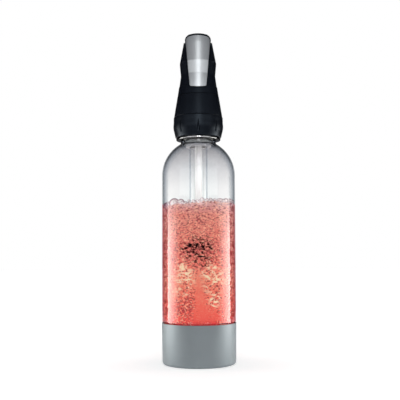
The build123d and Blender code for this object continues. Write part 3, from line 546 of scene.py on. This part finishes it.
def make_fizzy_drink():
    """Red drink full of gas: coral, cloudy, grained with bubbles that are dark or pale by what they reflect.

    Most real bubbles are under a millimetre, so the grains are drawn 2 mm across and more, to show.
    """
    material, tree = new_material("fizzy_drink")
    place = add(tree, "ShaderNodeTexCoord").outputs["Object"]
    shifted = add(tree, "ShaderNodeVectorMath", {0: place, 1: (0.31, 0.17, 0.23)}, operation="ADD")
    height = add(tree, "ShaderNodeMapRange", {
        "Value": add(tree, "ShaderNodeSeparateXYZ", {"Vector": place}).outputs["Z"],
        "From Min": 40 * MM, "From Max": 185 * MM,
    })
    tone = add(tree, "ShaderNodeValToRGB", {"Fac": height}, stops=shades(
        (0.0, "b82434"), (0.055, "ea4648"), (0.085, "fc665a"), (0.2, "fe7664"), (0.38, "f88c74"),
        (0.5, "f08070"), (0.6, "e0746a"), (0.72, "e48676"), (0.88, "e29284"), (0.94, "d8a4a0"),
        (0.97, "dcbcb8")))

    # A smooth column of fresh drink rises in the middle, with few bubbles on it.
    column = patches(tree, place, [((1, -40, 74), (8, 30, 42), 0.8), ((6, -40, 54), (24, 30, 18), 0.8)])
    fizzing = add(tree, "ShaderNodeMath", {0: 1.0, 1: column}, operation="SUBTRACT")
    # Pale swarms of fine bubbles lie low in the drink, on both sides of its middle, and are broken up.
    swarms = patches(tree, place, [
        ((0, 40, 100), (34, 30, 26), 1.0), ((-17, -37, 98), (17, 30, 30), 1.0),
        ((15, -37, 100), (18, 30, 28), 1.0), ((17, -37, 74), (9, 30, 16), 1.0),
    ])
    broken = flecks(tree, place, 11, 0.42, 0.56)
    # A patch low on the left is crowded with maroon bubbles.
    crowd = patches(tree, place, [((-16, -36, 68), (15, 30, 22), 1.0)])
    # Near-black painted shadows between the bubbles lie in a band across the middle.
    band = patches(tree, place, [
        ((0, -38, 128), (38, 30, 32), 0.77), ((-9, -38, 131), (15, 30, 11), 1.0),
        ((9, -38, 132), (15, 30, 10), 0.88), ((4, 40, 130), (30, 30, 20), 0.76),
    ])
    threshold = add(tree, "ShaderNodeMapRange", {"Value": band, "To Min": 0.78, "To Max": 0.458})
    wide = add(tree, "ShaderNodeVectorMath", {0: shifted, 1: (0.75, 0.75, 1.4)}, operation="MULTIPLY")
    speck = add(tree, "ShaderNodeTexNoise", {
        "Vector": wide, "Scale": 1 / (2.9 * MM), "Detail": 3.5, "Roughness": 0.72, "Distortion": 0.9,
    })
    over = add(tree, "ShaderNodeMath", {0: speck, 1: threshold}, operation="SUBTRACT")
    painted_bubble_shadow = add(tree, "ShaderNodeMapRange", {"Value": over, "From Max": 0.01})

    # Clouds of gas, then the fizz: maroon where a bubble shows its shaded wall, cream where it is lit.
    tone = layered(tree, tone, [
        (colour("d85a4c"), flecks(tree, place, 16, 0.35, 0.65, 3.0), 0.3),
        (colour("8c2c3a"), flecks(tree, place, 2.0, 0.53, 0.60), 0.8, fizzing),
        (colour("a83c44"), flecks(tree, place, 2.8, 0.47, 0.53, 3.0), crowd, 0.7),
        (colour("ffc8a4"), flecks(tree, shifted, 2.0, 0.56, 0.62), 0.6, fizzing),
        (colour("ffdcb8"), flecks(tree, place, 3.4, 0.48, 0.54, 4.0), swarms, broken),
        (colour("0c0408"), painted_bubble_shadow),
    ])
    # Its faint glow stands for light that comes through the drink from behind.
    shader = add(tree, "ShaderNodeBsdfPrincipled", {
        "Base Color": tone, "Roughness": 0.35, "IOR": 1.1, "Emission Color": tone, "Emission Strength": 0.2,
    })
    add(tree, "ShaderNodeOutputMaterial", {"Surface": shader})
    return material


def make_foam_film():
    """Foam bubbles: pale in the middle, mauve at the edge where the film is seen along its wall.

    They have a faint glow, as the drink has, which is painted light that stands for light coming through
    them from behind.
    """
    material, tree = new_material("foam_film")
    facing = add(tree, "ShaderNodeLayerWeight", {"Blend": 0.5}).outputs["Facing"]
    tone = add(tree, "ShaderNodeValToRGB", {"Fac": facing}, stops=shades(
        (0.0, "fbeeec"), (0.25, "f6eaea"), (0.42, "d0a8b0"), (0.62, "845464"), (0.8, "4c2a3a")))
    shader = add(tree, "ShaderNodeBsdfPrincipled", {
        "Base Color": tone, "Roughness": 0.1, "IOR": 1.33, "Emission Color": tone, "Emission Strength": 0.14,
    })
    add(tree, "ShaderNodeOutputMaterial", {"Surface": shader})
    return material


fizzy_drink = make_fizzy_drink()
foam_film = make_foam_film()


# --- the bottle, its cup and the drink ---------------------------------------------------------
def reach_angle(radius, half_width):
    """How far up a ball of some radius its face is half_width from the axis, in degrees from its middle."""
    return math.degrees(math.acos(half_width / radius))


def bottle_side(inset, end_radius):
    """Side of the bottle from the middle of its bottom to the neck, some distance inside its face."""
    foot = FOOT_RADIUS - inset
    body = BOTTLE_RADIUS - inset
    side = arc(0, FOOT_MIDDLE, foot, -90, 0, 20)
    side += [(foot, STEP[0]), (body, STEP[1])]
    side += arc(0, SHOULDER, body, 0, reach_angle(body, end_radius), 32)
    return side


def make_bottle():
    """The bottle: a turned shell with its neck and flange, and a thread wound on the neck."""
    outer = bottle_side(0, NECK_RADIUS)
    outer[-1] = (*outer[-1], 2.2)  # the rounded corner between the shoulder and the neck
    neck = [
        (NECK_RADIUS, FLANGE[0], 0.4), (FLANGE_RADIUS, FLANGE[0], 0.66), (FLANGE_RADIUS, FLANGE[1], 0.66),
        (FINISH_RADIUS, FLANGE[1], 0.4), (FINISH_RADIUS, RIM, 0.4), (NECK_BORE, RIM, 0.4),
    ]
    inner = list(reversed(bottle_side(BOTTLE_WALL, NECK_BORE)))
    shell = turned("bottle_shell", outer + neck + inner, closed=False)
    root, crest = FINISH_RADIUS - THREAD_ROOT, FINISH_RADIUS + THREAD_CREST
    thread = draw_outline("thread", [
        (root, 260.05), (crest, 260.65, 0.25), (crest, 261.75, 0.25), (root, 262.35),
    ])
    bpy.ops.object.mode_set(mode="OBJECT")
    wind(thread, THREAD_TURNS, rise=THREAD_PITCH * THREAD_TURNS, steps=180)
    return joined("bottle_shell", [shell, thread])


def make_cup():
    """The cup that the bottle's round bottom stands in, on a ring-shaped foot."""
    side = [(0, 1.2), (30, 1.2, 0.3), (31.2, 0, 0.3)] + arc(38.3, 3.5, 3.5, -90, 0, 8)
    side += [(CUP_RADIUS, CUP_RIM, 0.35), (CUP_BORE, CUP_RIM, 0.35), (CUP_BORE, 6.3), (37.55, 2.8), (0, 2.8)]
    return turned("cup_shell", side, closed=False)


def wave(x, y):
    """Height of the drink's top above its mean level, in millimetres, at a place in millimetres."""
    swell = SWELL * x / BOTTLE_RADIUS
    return swell + RIPPLE_HEIGHT * noise.noise(Vector((x / RIPPLE_LENGTH, y / RIPPLE_LENGTH, 0.7)))


def make_drink():
    """The drink: it fills the bottle up to a wavy top, with room in its middle for the tube and its cap."""
    inside = BOTTLE_WALL + DRINK_GAP
    side = arc(0, FOOT_MIDDLE, FOOT_RADIUS - inside, -90, 0, 14)
    side += [(FOOT_RADIUS - inside, STEP[0]), (BOTTLE_RADIUS - inside, STEP[1])]
    side += [(BOTTLE_RADIUS - inside, height) for height in (100, 150, 170, 175, 178.5)]
    side += [(40.2, 180.2), (38.8, DRINK_LEVEL)]
    side += [(radius, DRINK_LEVEL) for radius in (36, 31, 26, 21, 16)]
    radius, foot, top = CAP_ROOM
    side += [(TUBE_ROOM, DRINK_LEVEL), (TUBE_ROOM, top), (radius, top), (radius, foot), (0, foot)]
    drink = turned("drink_body", side, closed=False)
    calm = DRINK_LEVEL - RIPPLE_REACH
    for vertex in drink.data.vertices:
        x, y, z = vertex.co / MM
        if z > calm:
            vertex.co.z += wave(x, y) * MM * min(1.0, (z - calm) / RIPPLE_REACH)
    return drink


def make_foam():
    """Bubbles on the drink's top: a few large ones, two rows against the wall, and small ones between."""
    rng = random.Random(7)
    reach = BOTTLE_RADIUS - BOTTLE_WALL - 0.2
    tube_side = 11.2  # radius of the tube with a gap around it
    # Place, height and radius of each bubble, the large ones first.
    rows = [(-28.0, -22.5, 182.6, 6.0), (-19.5, -30.5, 182.0, 3.8), (-34.5, -12.0, 181.8, 4.2),
            (24.0, -26.0, 181.6, 3.0), (30, 20, 182.0, 5.0), (-10, 34, 182.0, 4.4), (2.0, -35.0, 181.4, 2.6)]
    for level, small, large, spacing in ((180.4, 1.0, 2.0, 4.4), (182.6, 1.4, 2.6, 5.2)):
        angle = 0.0
        while angle < 2 * math.pi:
            size = rng.uniform(small, large)
            distance = reach - size - rng.uniform(0, 0.8)
            rows.append((distance * math.cos(angle), distance * math.sin(angle),
                         level + rng.uniform(-0.6, 0.6), size))
            angle += spacing / reach * rng.uniform(0.75, 1.1)
    for _ in range(150):
        angle = rng.uniform(0, 2 * math.pi)
        distance = rng.uniform(13, 36)
        rows.append((distance * math.cos(angle), distance * math.sin(angle), 181.2, rng.uniform(0.9, 2.2)))
    bubbles = []
    for x, y, z, size in rows:
        distance = math.hypot(x, y)
        # Each bubble is kept between the bottle's wall and the tube.
        kept = min(1.0, (reach - size) / distance) * max(1.0, (tube_side + size) / distance)
        deselect()
        bpy.ops.mesh.primitive_ico_sphere_add(
            subdivisions=3 if size > 3 else 2, radius=size * MM,
            location=(x * kept * MM, y * kept * MM, (z + wave(x, y)) * MM),
        )
        bubbles.append(bpy.context.object)
    foam = joined("foam_bubbles", bubbles)
    settle(foam)
    return foam


# --- the dip tube ------------------------------------------------------------------------------
def make_tube():
    """The tube that hangs from the head, with the flange that it is clamped by."""
    low, high = TUBE_FLANGE
    return turned("dip_tube", [
        (TUBE_BORE, TUBE_END, 0.25), (TUBE_RADIUS, TUBE_END, 0.25), (TUBE_RADIUS, low),
        (TUBE_FLANGE_RADIUS, low, 0.3), (TUBE_FLANGE_RADIUS, high, 0.3), (TUBE_BORE, high, 0.3),
    ], steps=96)


# --- the head ----------------------------------------------------------------------------------
COLLAR_FOOT = 258.197
COLLAR_CEILING = 279.797  # its inner face, above the neck
COLLAR_TOP = 282.097
COLLAR_BORE = 21.4
COLLAR_HOLE = 17.9  # radius of the hole in its top
NOTCHES = 8
NOTCH_FOOT = 262.997
NOTCH_HEIGHT = 13.0
CONE_FOOT = 282.397
CONE_FLOOR = 285.397
CONE_HOLE = 11.6
CONE_TOP = 306.597
CONE_LIP = 307.097
POSTS = 3
POST_HEIGHT = 18.4
BAND_LIP = (317.3, 317.9)


def make_collar():
    """The screw collar with its grip notches, which are wide at their foot and run out upwards."""
    collar = turned("collar_shell", [
        (COLLAR_BORE, COLLAR_FOOT, 0.3), (26.5, COLLAR_FOOT, 0.9), (27.7, 263.797, 2.0),
        (29.25, 269.997, 3.0), (28.6, 275.597, 2.5), (28.6, COLLAR_TOP, 0.9), (COLLAR_HOLE, COLLAR_TOP, 0.3),
        (COLLAR_HOLE, COLLAR_CEILING), (COLLAR_BORE, COLLAR_CEILING),
    ])
    notches = []
    for x, y in placed_around(NOTCHES, 28.5, -90):
        deselect()
        bpy.ops.mesh.primitive_cone_add(
            vertices=24, radius1=1.9 * MM, radius2=0.35 * MM, depth=NOTCH_HEIGHT * MM,
            location=(x * MM, y * MM, (NOTCH_FOOT + NOTCH_HEIGHT / 2) * MM),
        )
        notches.append(bpy.context.object)
    carve(collar, notches)
    ease_edges(collar, width=0.25, segments=3, degrees=35)
    return collar


def make_cone():
    """The cone over the collar, with the posts inside it that carry the bearing plate."""
    # A low lip inside its top edge keeps light out of the groove under the band.
    cone = turned("cone_shell", [
        (CONE_HOLE, CONE_FOOT), (28.1, CONE_FOOT, 0.4), (24.15, CONE_TOP, 0.4), (22.95, CONE_TOP),
        (22.95, CONE_LIP), (21.95, CONE_LIP), (21.95, CONE_TOP), (25.4, CONE_FLOOR), (CONE_HOLE, CONE_FLOOR),
    ])
    posts = []
    for x, y in placed_around(POSTS, 18.4, 90):
        deselect()
        bpy.ops.mesh.primitive_cylinder_add(
            vertices=32, radius=2.8 * MM, depth=POST_HEIGHT * MM, location=(x * MM, y * MM, 294.1 * MM))
        posts.append(bpy.context.object)
    return joined("cone_shell", [cone] + posts)


def make_band():
    """The band with a low lip that fills the seam under the handle, left open behind the lever."""
    low, high = BAND_LIP
    lip = turned("lip", [(20.1, low), (21.3, low), (21.3, high), (20.1, high)])
    deselect()
    bpy.ops.mesh.primitive_cube_add(
        size=MM, location=(0, -28 * MM, 317.6 * MM), scale=(60, 30, 10))
    carve(lip, [bpy.context.object])
    return joined("band_shell", [node_copy("band_ring"), lip])


# The lever's curved front: height, how far it lies in front of the axis, radius of its curve across.
LEVER_STATIONS = [(309.197, 25.0, 24.0), (330.997, 21.7, 21.0), (345.697, 22.7, 22.0), (367.997, 18.4, 20.0),
                  (381.897, 14.6, 20.0)]
LEVER_BOTTOM = 314.197
LEVER_TOP = 376.897
LEVER_REACH = 16.0  # half width of the curved front before it is cut to its outline
FOOT_HALF_WIDTH = 10.1
FLARE = 0.0858  # how much each side moves out per millimetre of height
FOOT_CROWN = 1.0  # how far the lower edge bulges down in its middle
TOP_CROWN = 1.6  # how far the upper edge bulges up in its middle
FOOT_CORNER = 1.7


def lever_plate(name, depth, thickness, grow, top_rise, corner):
    """A plate along the lever's front, some depth behind it, cut to its outline grown by a margin."""
    deselect()
    last = len(LEVER_STATIONS) - 1
    bpy.ops.mesh.primitive_grid_add(x_subdivisions=48, y_subdivisions=last, size=2)
    plate = bpy.context.object
    plate.name = name
    for vertex in plate.data.vertices:
        height, front, crown = LEVER_STATIONS[round((vertex.co.y + 1) / 2 * last)]
        x = vertex.co.x * LEVER_REACH
        back = crown - front - math.sqrt((crown - depth) ** 2 - x * x)
        vertex.co = (x * MM, back * MM, height * MM)
    finish_modifier(plate, "SOLIDIFY", thickness=thickness * MM, offset=-1.0, use_even_offset=True)

    low, high = LEVER_BOTTOM + FOOT_CROWN, LEVER_TOP + top_rise - TOP_CROWN
    low_half = FOOT_HALF_WIDTH + FLARE * (low - LEVER_BOTTOM) + grow
    high_half = FOOT_HALF_WIDTH + FLARE * (high - LEVER_BOTTOM) + grow
    corners = [(-low_half, low, FOOT_CORNER)]
    corners += [(x, low - FOOT_CROWN + (x / low_half) ** 2) for x in (-5, -2.5, 0, 2.5, 5)]
    corners += [(low_half, low, FOOT_CORNER), (high_half, high, corner)]
    corners += [(x, high + TOP_CROWN - TOP_CROWN * (x / high_half) ** 2)
                for x in (8, 6, 4, 2, 0, -2, -4, -6, -8)]
    corners += [(-high_half, high, corner)]
    bar = draw_outline("bar", corners)
    bpy.ops.mesh.select_all(action="SELECT")
    bpy.ops.mesh.extrude_region_move(TRANSFORM_OT_translate={"value": (0, -40 * MM, 0)})
    bpy.ops.mesh.select_all(action="SELECT")
    face_outwards()
    finish_modifier(plate, "BOOLEAN", operation="INTERSECT", solver="EXACT", object=bar)
    bpy.data.objects.remove(bar)
    return plate


def make_lever_face():
    """The lever's silver front, with its folds kept crisp where it changes slope."""
    face = lever_plate("lever_face", depth=0.0, thickness=1.2, grow=-0.7, top_rise=-0.9, corner=4.2)
    ease_edges(face, width=0.4, segments=3, degrees=60)
    edit(face)
    for height, _, _ in LEVER_STATIONS[1:-1]:
        pick(face, lambda co: abs(co.z - height * MM) < WELD)
        bpy.ops.mesh.mark_sharp()
    bpy.ops.object.mode_set(mode="OBJECT")
    return face


def make_lever_body():
    """The lever's core with the rim that shows around its silver face."""
    rim = lever_plate("rim", depth=1.3, thickness=1.7, grow=0.1, top_rise=1.89, corner=5.2)
    ease_edges(rim, width=0.3, segments=2, degrees=60)
    return joined("lever_body", [node_copy("lever_core"), rim])


SPRING_TURNS = 5
SPRING_RADIUS = 3.1
WIRE_RADIUS = 0.35


def make_spring():
    """The vent valve's coil, wound from round wire, as tall as the space that it fills."""
    low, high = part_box("vent_spring")
    height = (high[2] - low[2]) / MM - 2 * WIRE_RADIUS
    deselect()
    bpy.ops.mesh.primitive_circle_add(
        vertices=10, radius=WIRE_RADIUS * MM, rotation=(math.pi / 2, 0, 0),
        location=(SPRING_RADIUS * MM, 0, low[2] + WIRE_RADIUS * MM))
    coil = bpy.context.object
    settle(coil)
    wind(coil, SPRING_TURNS, rise=height, steps=24 * SPRING_TURNS)
    edit(coil)
    near = 3 * WIRE_RADIUS * MM
    for at_end in (lambda co: co.z < low[2] + near, lambda co: co.z > high[2] - near):
        pick(coil, lambda co: abs(co.y) < SAME_PLACE and co.x > 0 and at_end(co))
        bpy.ops.mesh.edge_face_add()
    bpy.ops.mesh.select_all(action="SELECT")
    face_outwards()
    coil.name = "vent_coil"
    return coil


# --- the pieces: maker, material, body, slot and the node that the piece stands for ---------------
PIECES = [
    (make_bottle, pet, "bottle", "clear_pet", "bottle"),
    (make_cup, grey_polypropylene, "bottle", "grey_plastic", "base_cup"),
    (make_drink, fizzy_drink, "bottle", "red_drink", "drink"),
    (make_foam, foam_film, "bottle", "red_drink"),
    (make_tube, san, "head", "clear_tube", "infusion_tube"),
    (make_collar, collar_abs, "collar", "black_plastic", "screw_collar"),
    (make_cone, black_abs, "head", "black_plastic", "cone_housing"),
    (make_band, black_abs, "handle", "black_plastic", "band_ring"),
    (make_lever_face, silver_lacquer, "lever", "silver_plastic", "lever_cover"),
    (make_lever_body, black_abs, "lever", "black_plastic", "lever_core"),
    (make_spring, stainless, "handle", "stainless", "vent_spring"),
]
for make, material, body, slot, *nodes in PIECES:
    piece = make()
    settle(piece)
    smooth(piece)
    dress(piece, material, body, slot, *nodes)

spring = bpy.data.objects["vent_coil"]
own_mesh(spring)

# The nodes that are shown as they are.
NODE_MATERIALS = {
    black_abs: ["handle_housing", "diffuser_cap"],
    acetal: ["neck_insert", "bearing_plate", "valve_core", "core_nut", "rod_foot"],
    stainless: ["cone_screws", "plate_screws", "vent_stem", "piercing_pin"],
    blasted_steel: ["push_rod", "tube_nut"],
    pin_steel_painted_dark: ["lever_pin"],
    brass: ["vent_bush", "pin_block"],
    nitrile: ["neck_gasket", "tube_oring", "core_oring", "vent_seal", "pin_gasket", "check_valve"],
    zinc: ["charger"],
}
for material, names in NODE_MATERIALS.items():
    for name in names:
        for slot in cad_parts[name].material_slots:
            slot.material = material


# --- studio, with its sizes in metres ------------------------------------------------------------
def make_floor():
    """A pale table that keeps the shadow of the siphon and turns white away from it."""
    deselect()
    bpy.ops.mesh.primitive_plane_add(size=12, location=(0, 0, 0))
    floor = bpy.context.object
    floor.name = "floor"
    material, tree = new_material("white_table")
    matt = add(tree, "ShaderNodeBsdfDiffuse", {"Color": colour("ededed")})
    place = add(tree, "ShaderNodeTexCoord").outputs["Object"]
    away = add(tree, "ShaderNodeVectorMath", {0: place}, operation="LENGTH")
    lift = add(tree, "ShaderNodeMapRange", {
        "Value": away, "From Min": 0.06, "From Max": 0.4, "To Min": 0.42, "To Max": 0.66,
    })
    # It glows only for rays that show the background: straight, mirrored or through a clear wall.
    ray = add(tree, "ShaderNodeLightPath").outputs
    seen = add(tree, "ShaderNodeMath", {
        0: ray["Is Camera Ray"], 1: ray["Is Glossy Ray"],
    }, operation="MAXIMUM")
    seen = add(tree, "ShaderNodeMath", {0: seen, 1: ray["Is Transmission Ray"]}, operation="MAXIMUM")
    strength = add(tree, "ShaderNodeMath", {0: seen, 1: lift}, operation="MULTIPLY")
    glow = add(tree, "ShaderNodeEmission", {"Color": (1, 1, 1, 1), "Strength": strength})
    both = add(tree, "ShaderNodeAddShader", {0: matt, 1: glow})
    add(tree, "ShaderNodeOutputMaterial", {"Surface": both})
    floor.data.materials.append(material)


def make_world():
    """A room that is bright near the horizon and grey above, and white where it is seen itself."""
    world = bpy.data.worlds.new("studio")
    bpy.context.scene.world = world
    world.use_nodes = True
    tree = world.node_tree
    tree.nodes.clear()
    direction = add(tree, "ShaderNodeTexCoord").outputs["Generated"]
    up = add(tree, "ShaderNodeSeparateXYZ", {"Vector": direction}).outputs["Z"]
    room = add(tree, "ShaderNodeValToRGB", {"Fac": up}, stops=[
        (0.0, (0.8, 0.8, 0.8, 1)), (0.06, (1, 1, 1, 1)), (0.2, (0.95, 0.95, 0.95, 1)),
        (0.42, (0.22, 0.22, 0.23, 1)), (1.0, (0.36, 0.36, 0.37, 1)),
    ])
    ray = add(tree, "ShaderNodeLightPath").outputs
    seen = add(tree, "ShaderNodeMath", {
        0: ray["Is Camera Ray"], 1: ray["Is Transmission Ray"],
    }, operation="MAXIMUM")
    backdrop = layered(tree, room, [((1, 1, 1, 1), seen)])
    strength = add(tree, "ShaderNodeMapRange", {"Value": seen, "To Min": 1.25, "To Max": 1.0})
    light = add(tree, "ShaderNodeBackground", {"Color": backdrop, "Strength": strength})
    add(tree, "ShaderNodeOutputWorld", {"Surface": light})


def card_light(name, strength, side):
    """A card that glows most along its rear edge, and fades towards the front and towards its top."""
    material, tree = new_material(name)
    place = add(tree, "ShaderNodeTexCoord").outputs["Object"]
    parts = add(tree, "ShaderNodeSeparateXYZ", {"Vector": place}).outputs
    rear = add(tree, "ShaderNodeMapRange", {
        "Value": parts["X"], "From Min": -0.5 * side, "From Max": 0.5 * side,
    })
    across = add(tree, "ShaderNodeMath", {0: rear, 1: 1.3}, operation="POWER")
    across = add(tree, "ShaderNodeMath", {0: across, 1: strength}, operation="MULTIPLY")
    height = add(tree, "ShaderNodeMath", {0: parts["Y"], 1: 0.5}, operation="ADD")
    up = add(tree, "ShaderNodeValToRGB", {"Fac": height}, stops=levels(
        (0.0, 1.0), (0.39, 1.0), (0.52, 0.4), (0.65, 0.22), (1.0, 0.0)))
    level = add(tree, "ShaderNodeMath", {0: across, 1: up}, operation="MULTIPLY")
    glow = add(tree, "ShaderNodeEmission", {"Color": colour("fffefa"), "Strength": level})
    add(tree, "ShaderNodeOutputMaterial", {"Surface": glow})
    return material


def soft_glow(name, strength):
    """A card that glows most near its foot and in its middle, as a softbox with a thick front."""
    material, tree = new_material(name)
    place = add(tree, "ShaderNodeTexCoord").outputs["Object"]
    parts = add(tree, "ShaderNodeSeparateXYZ", {"Vector": place}).outputs
    aside = add(tree, "ShaderNodeMath", {0: parts["X"]}, operation="ABSOLUTE")
    middle = add(tree, "ShaderNodeMapRange", {
        "Value": aside, "From Min": 0.1, "From Max": 0.5, "To Min": strength, "To Max": 0.0,
    }, interpolation_type="SMOOTHSTEP")
    height = add(tree, "ShaderNodeMath", {0: parts["Y"], 1: 0.5}, operation="ADD")
    up = add(tree, "ShaderNodeValToRGB", {"Fac": height}, stops=levels(
        (0.0, 0.8), (0.05, 1.25), (0.15, 1.25), (0.28, 0.9), (0.65, 0.76), (1.0, 0.0)))
    level = add(tree, "ShaderNodeMath", {0: middle, 1: up}, operation="MULTIPLY")
    glow = add(tree, "ShaderNodeEmission", {"Color": (1, 1, 1, 1), "Strength": level})
    add(tree, "ShaderNodeOutputMaterial", {"Surface": glow})
    return material


def black_velvet():
    """Cloth of the dark cards: it mirrors as nothing but black."""
    material, tree = new_material("black_velvet")
    cloth = add(tree, "ShaderNodeBsdfDiffuse", {"Color": colour("19191d")})
    add(tree, "ShaderNodeOutputMaterial", {"Surface": cloth})
    return material


def make_card(name, material, azimuth, distance, width, low, high):
    """An upright card that the camera doesn't see, azimuth in degrees from the front to the right."""
    deselect()
    angle = math.radians(azimuth)
    bpy.ops.mesh.primitive_plane_add(size=1, location=(0, 0, 0))
    card = bpy.context.object
    card.name = name
    card.dimensions = (width, high - low, 0)
    card.location = (distance * math.sin(angle), -distance * math.cos(angle), (low + high) / 2)
    card.rotation_euler = (math.radians(90), 0, angle)
    card.visible_camera = False
    card.data.materials.append(material)
    return card


def make_cards():
    """A softbox high in front, a glowing panel on each side, and dark cards between and behind them."""
    velvet = black_velvet()
    flags = [make_card("flag_front", velvet, azimuth=0, distance=0.55, width=0.92, low=0.0, high=0.222)]
    make_card("softbox", soft_glow("soft_glow", 3.7),
              azimuth=2, distance=1.1, width=0.62, low=0.262, high=2.2)
    for name, side in (("left", -1), ("right", 1)):
        make_card(f"panel_{name}", card_light(f"glow_{name}", 10.0, side),
                  azimuth=84 * side, distance=0.5, width=0.467, low=0.0, high=0.4)
        flags.append(make_card(f"flag_{name}_front", velvet,
                               azimuth=48 * side, distance=0.55, width=0.44, low=0.0, high=0.24))
        flags.append(make_card(f"flag_{name}", velvet,
                               azimuth=115 * side, distance=0.62, width=1.16, low=0.0, high=0.8))
    # The dark cards are only there to be mirrored.
    for flag in flags:
        flag.visible_diffuse = False
        flag.visible_shadow = False
        flag.visible_transmission = False


def make_camera():
    """A camera 0.82 m in front, at the height of the drink, tilted 4.6 degrees up."""
    data = bpy.data.cameras.new("camera")
    data.lens = 64.08
    data.sensor_width = 36
    camera = bpy.data.objects.new("camera", data)
    camera.location = (0.0013, -0.82, 0.1202)
    camera.rotation_euler = (math.radians(94.609), math.radians(0.27), 0)
    bpy.context.scene.collection.objects.link(camera)
    bpy.context.scene.camera = camera


make_floor()
make_world()
make_cards()
make_camera()
bpy.context.scene.view_settings.view_transform = "Standard"
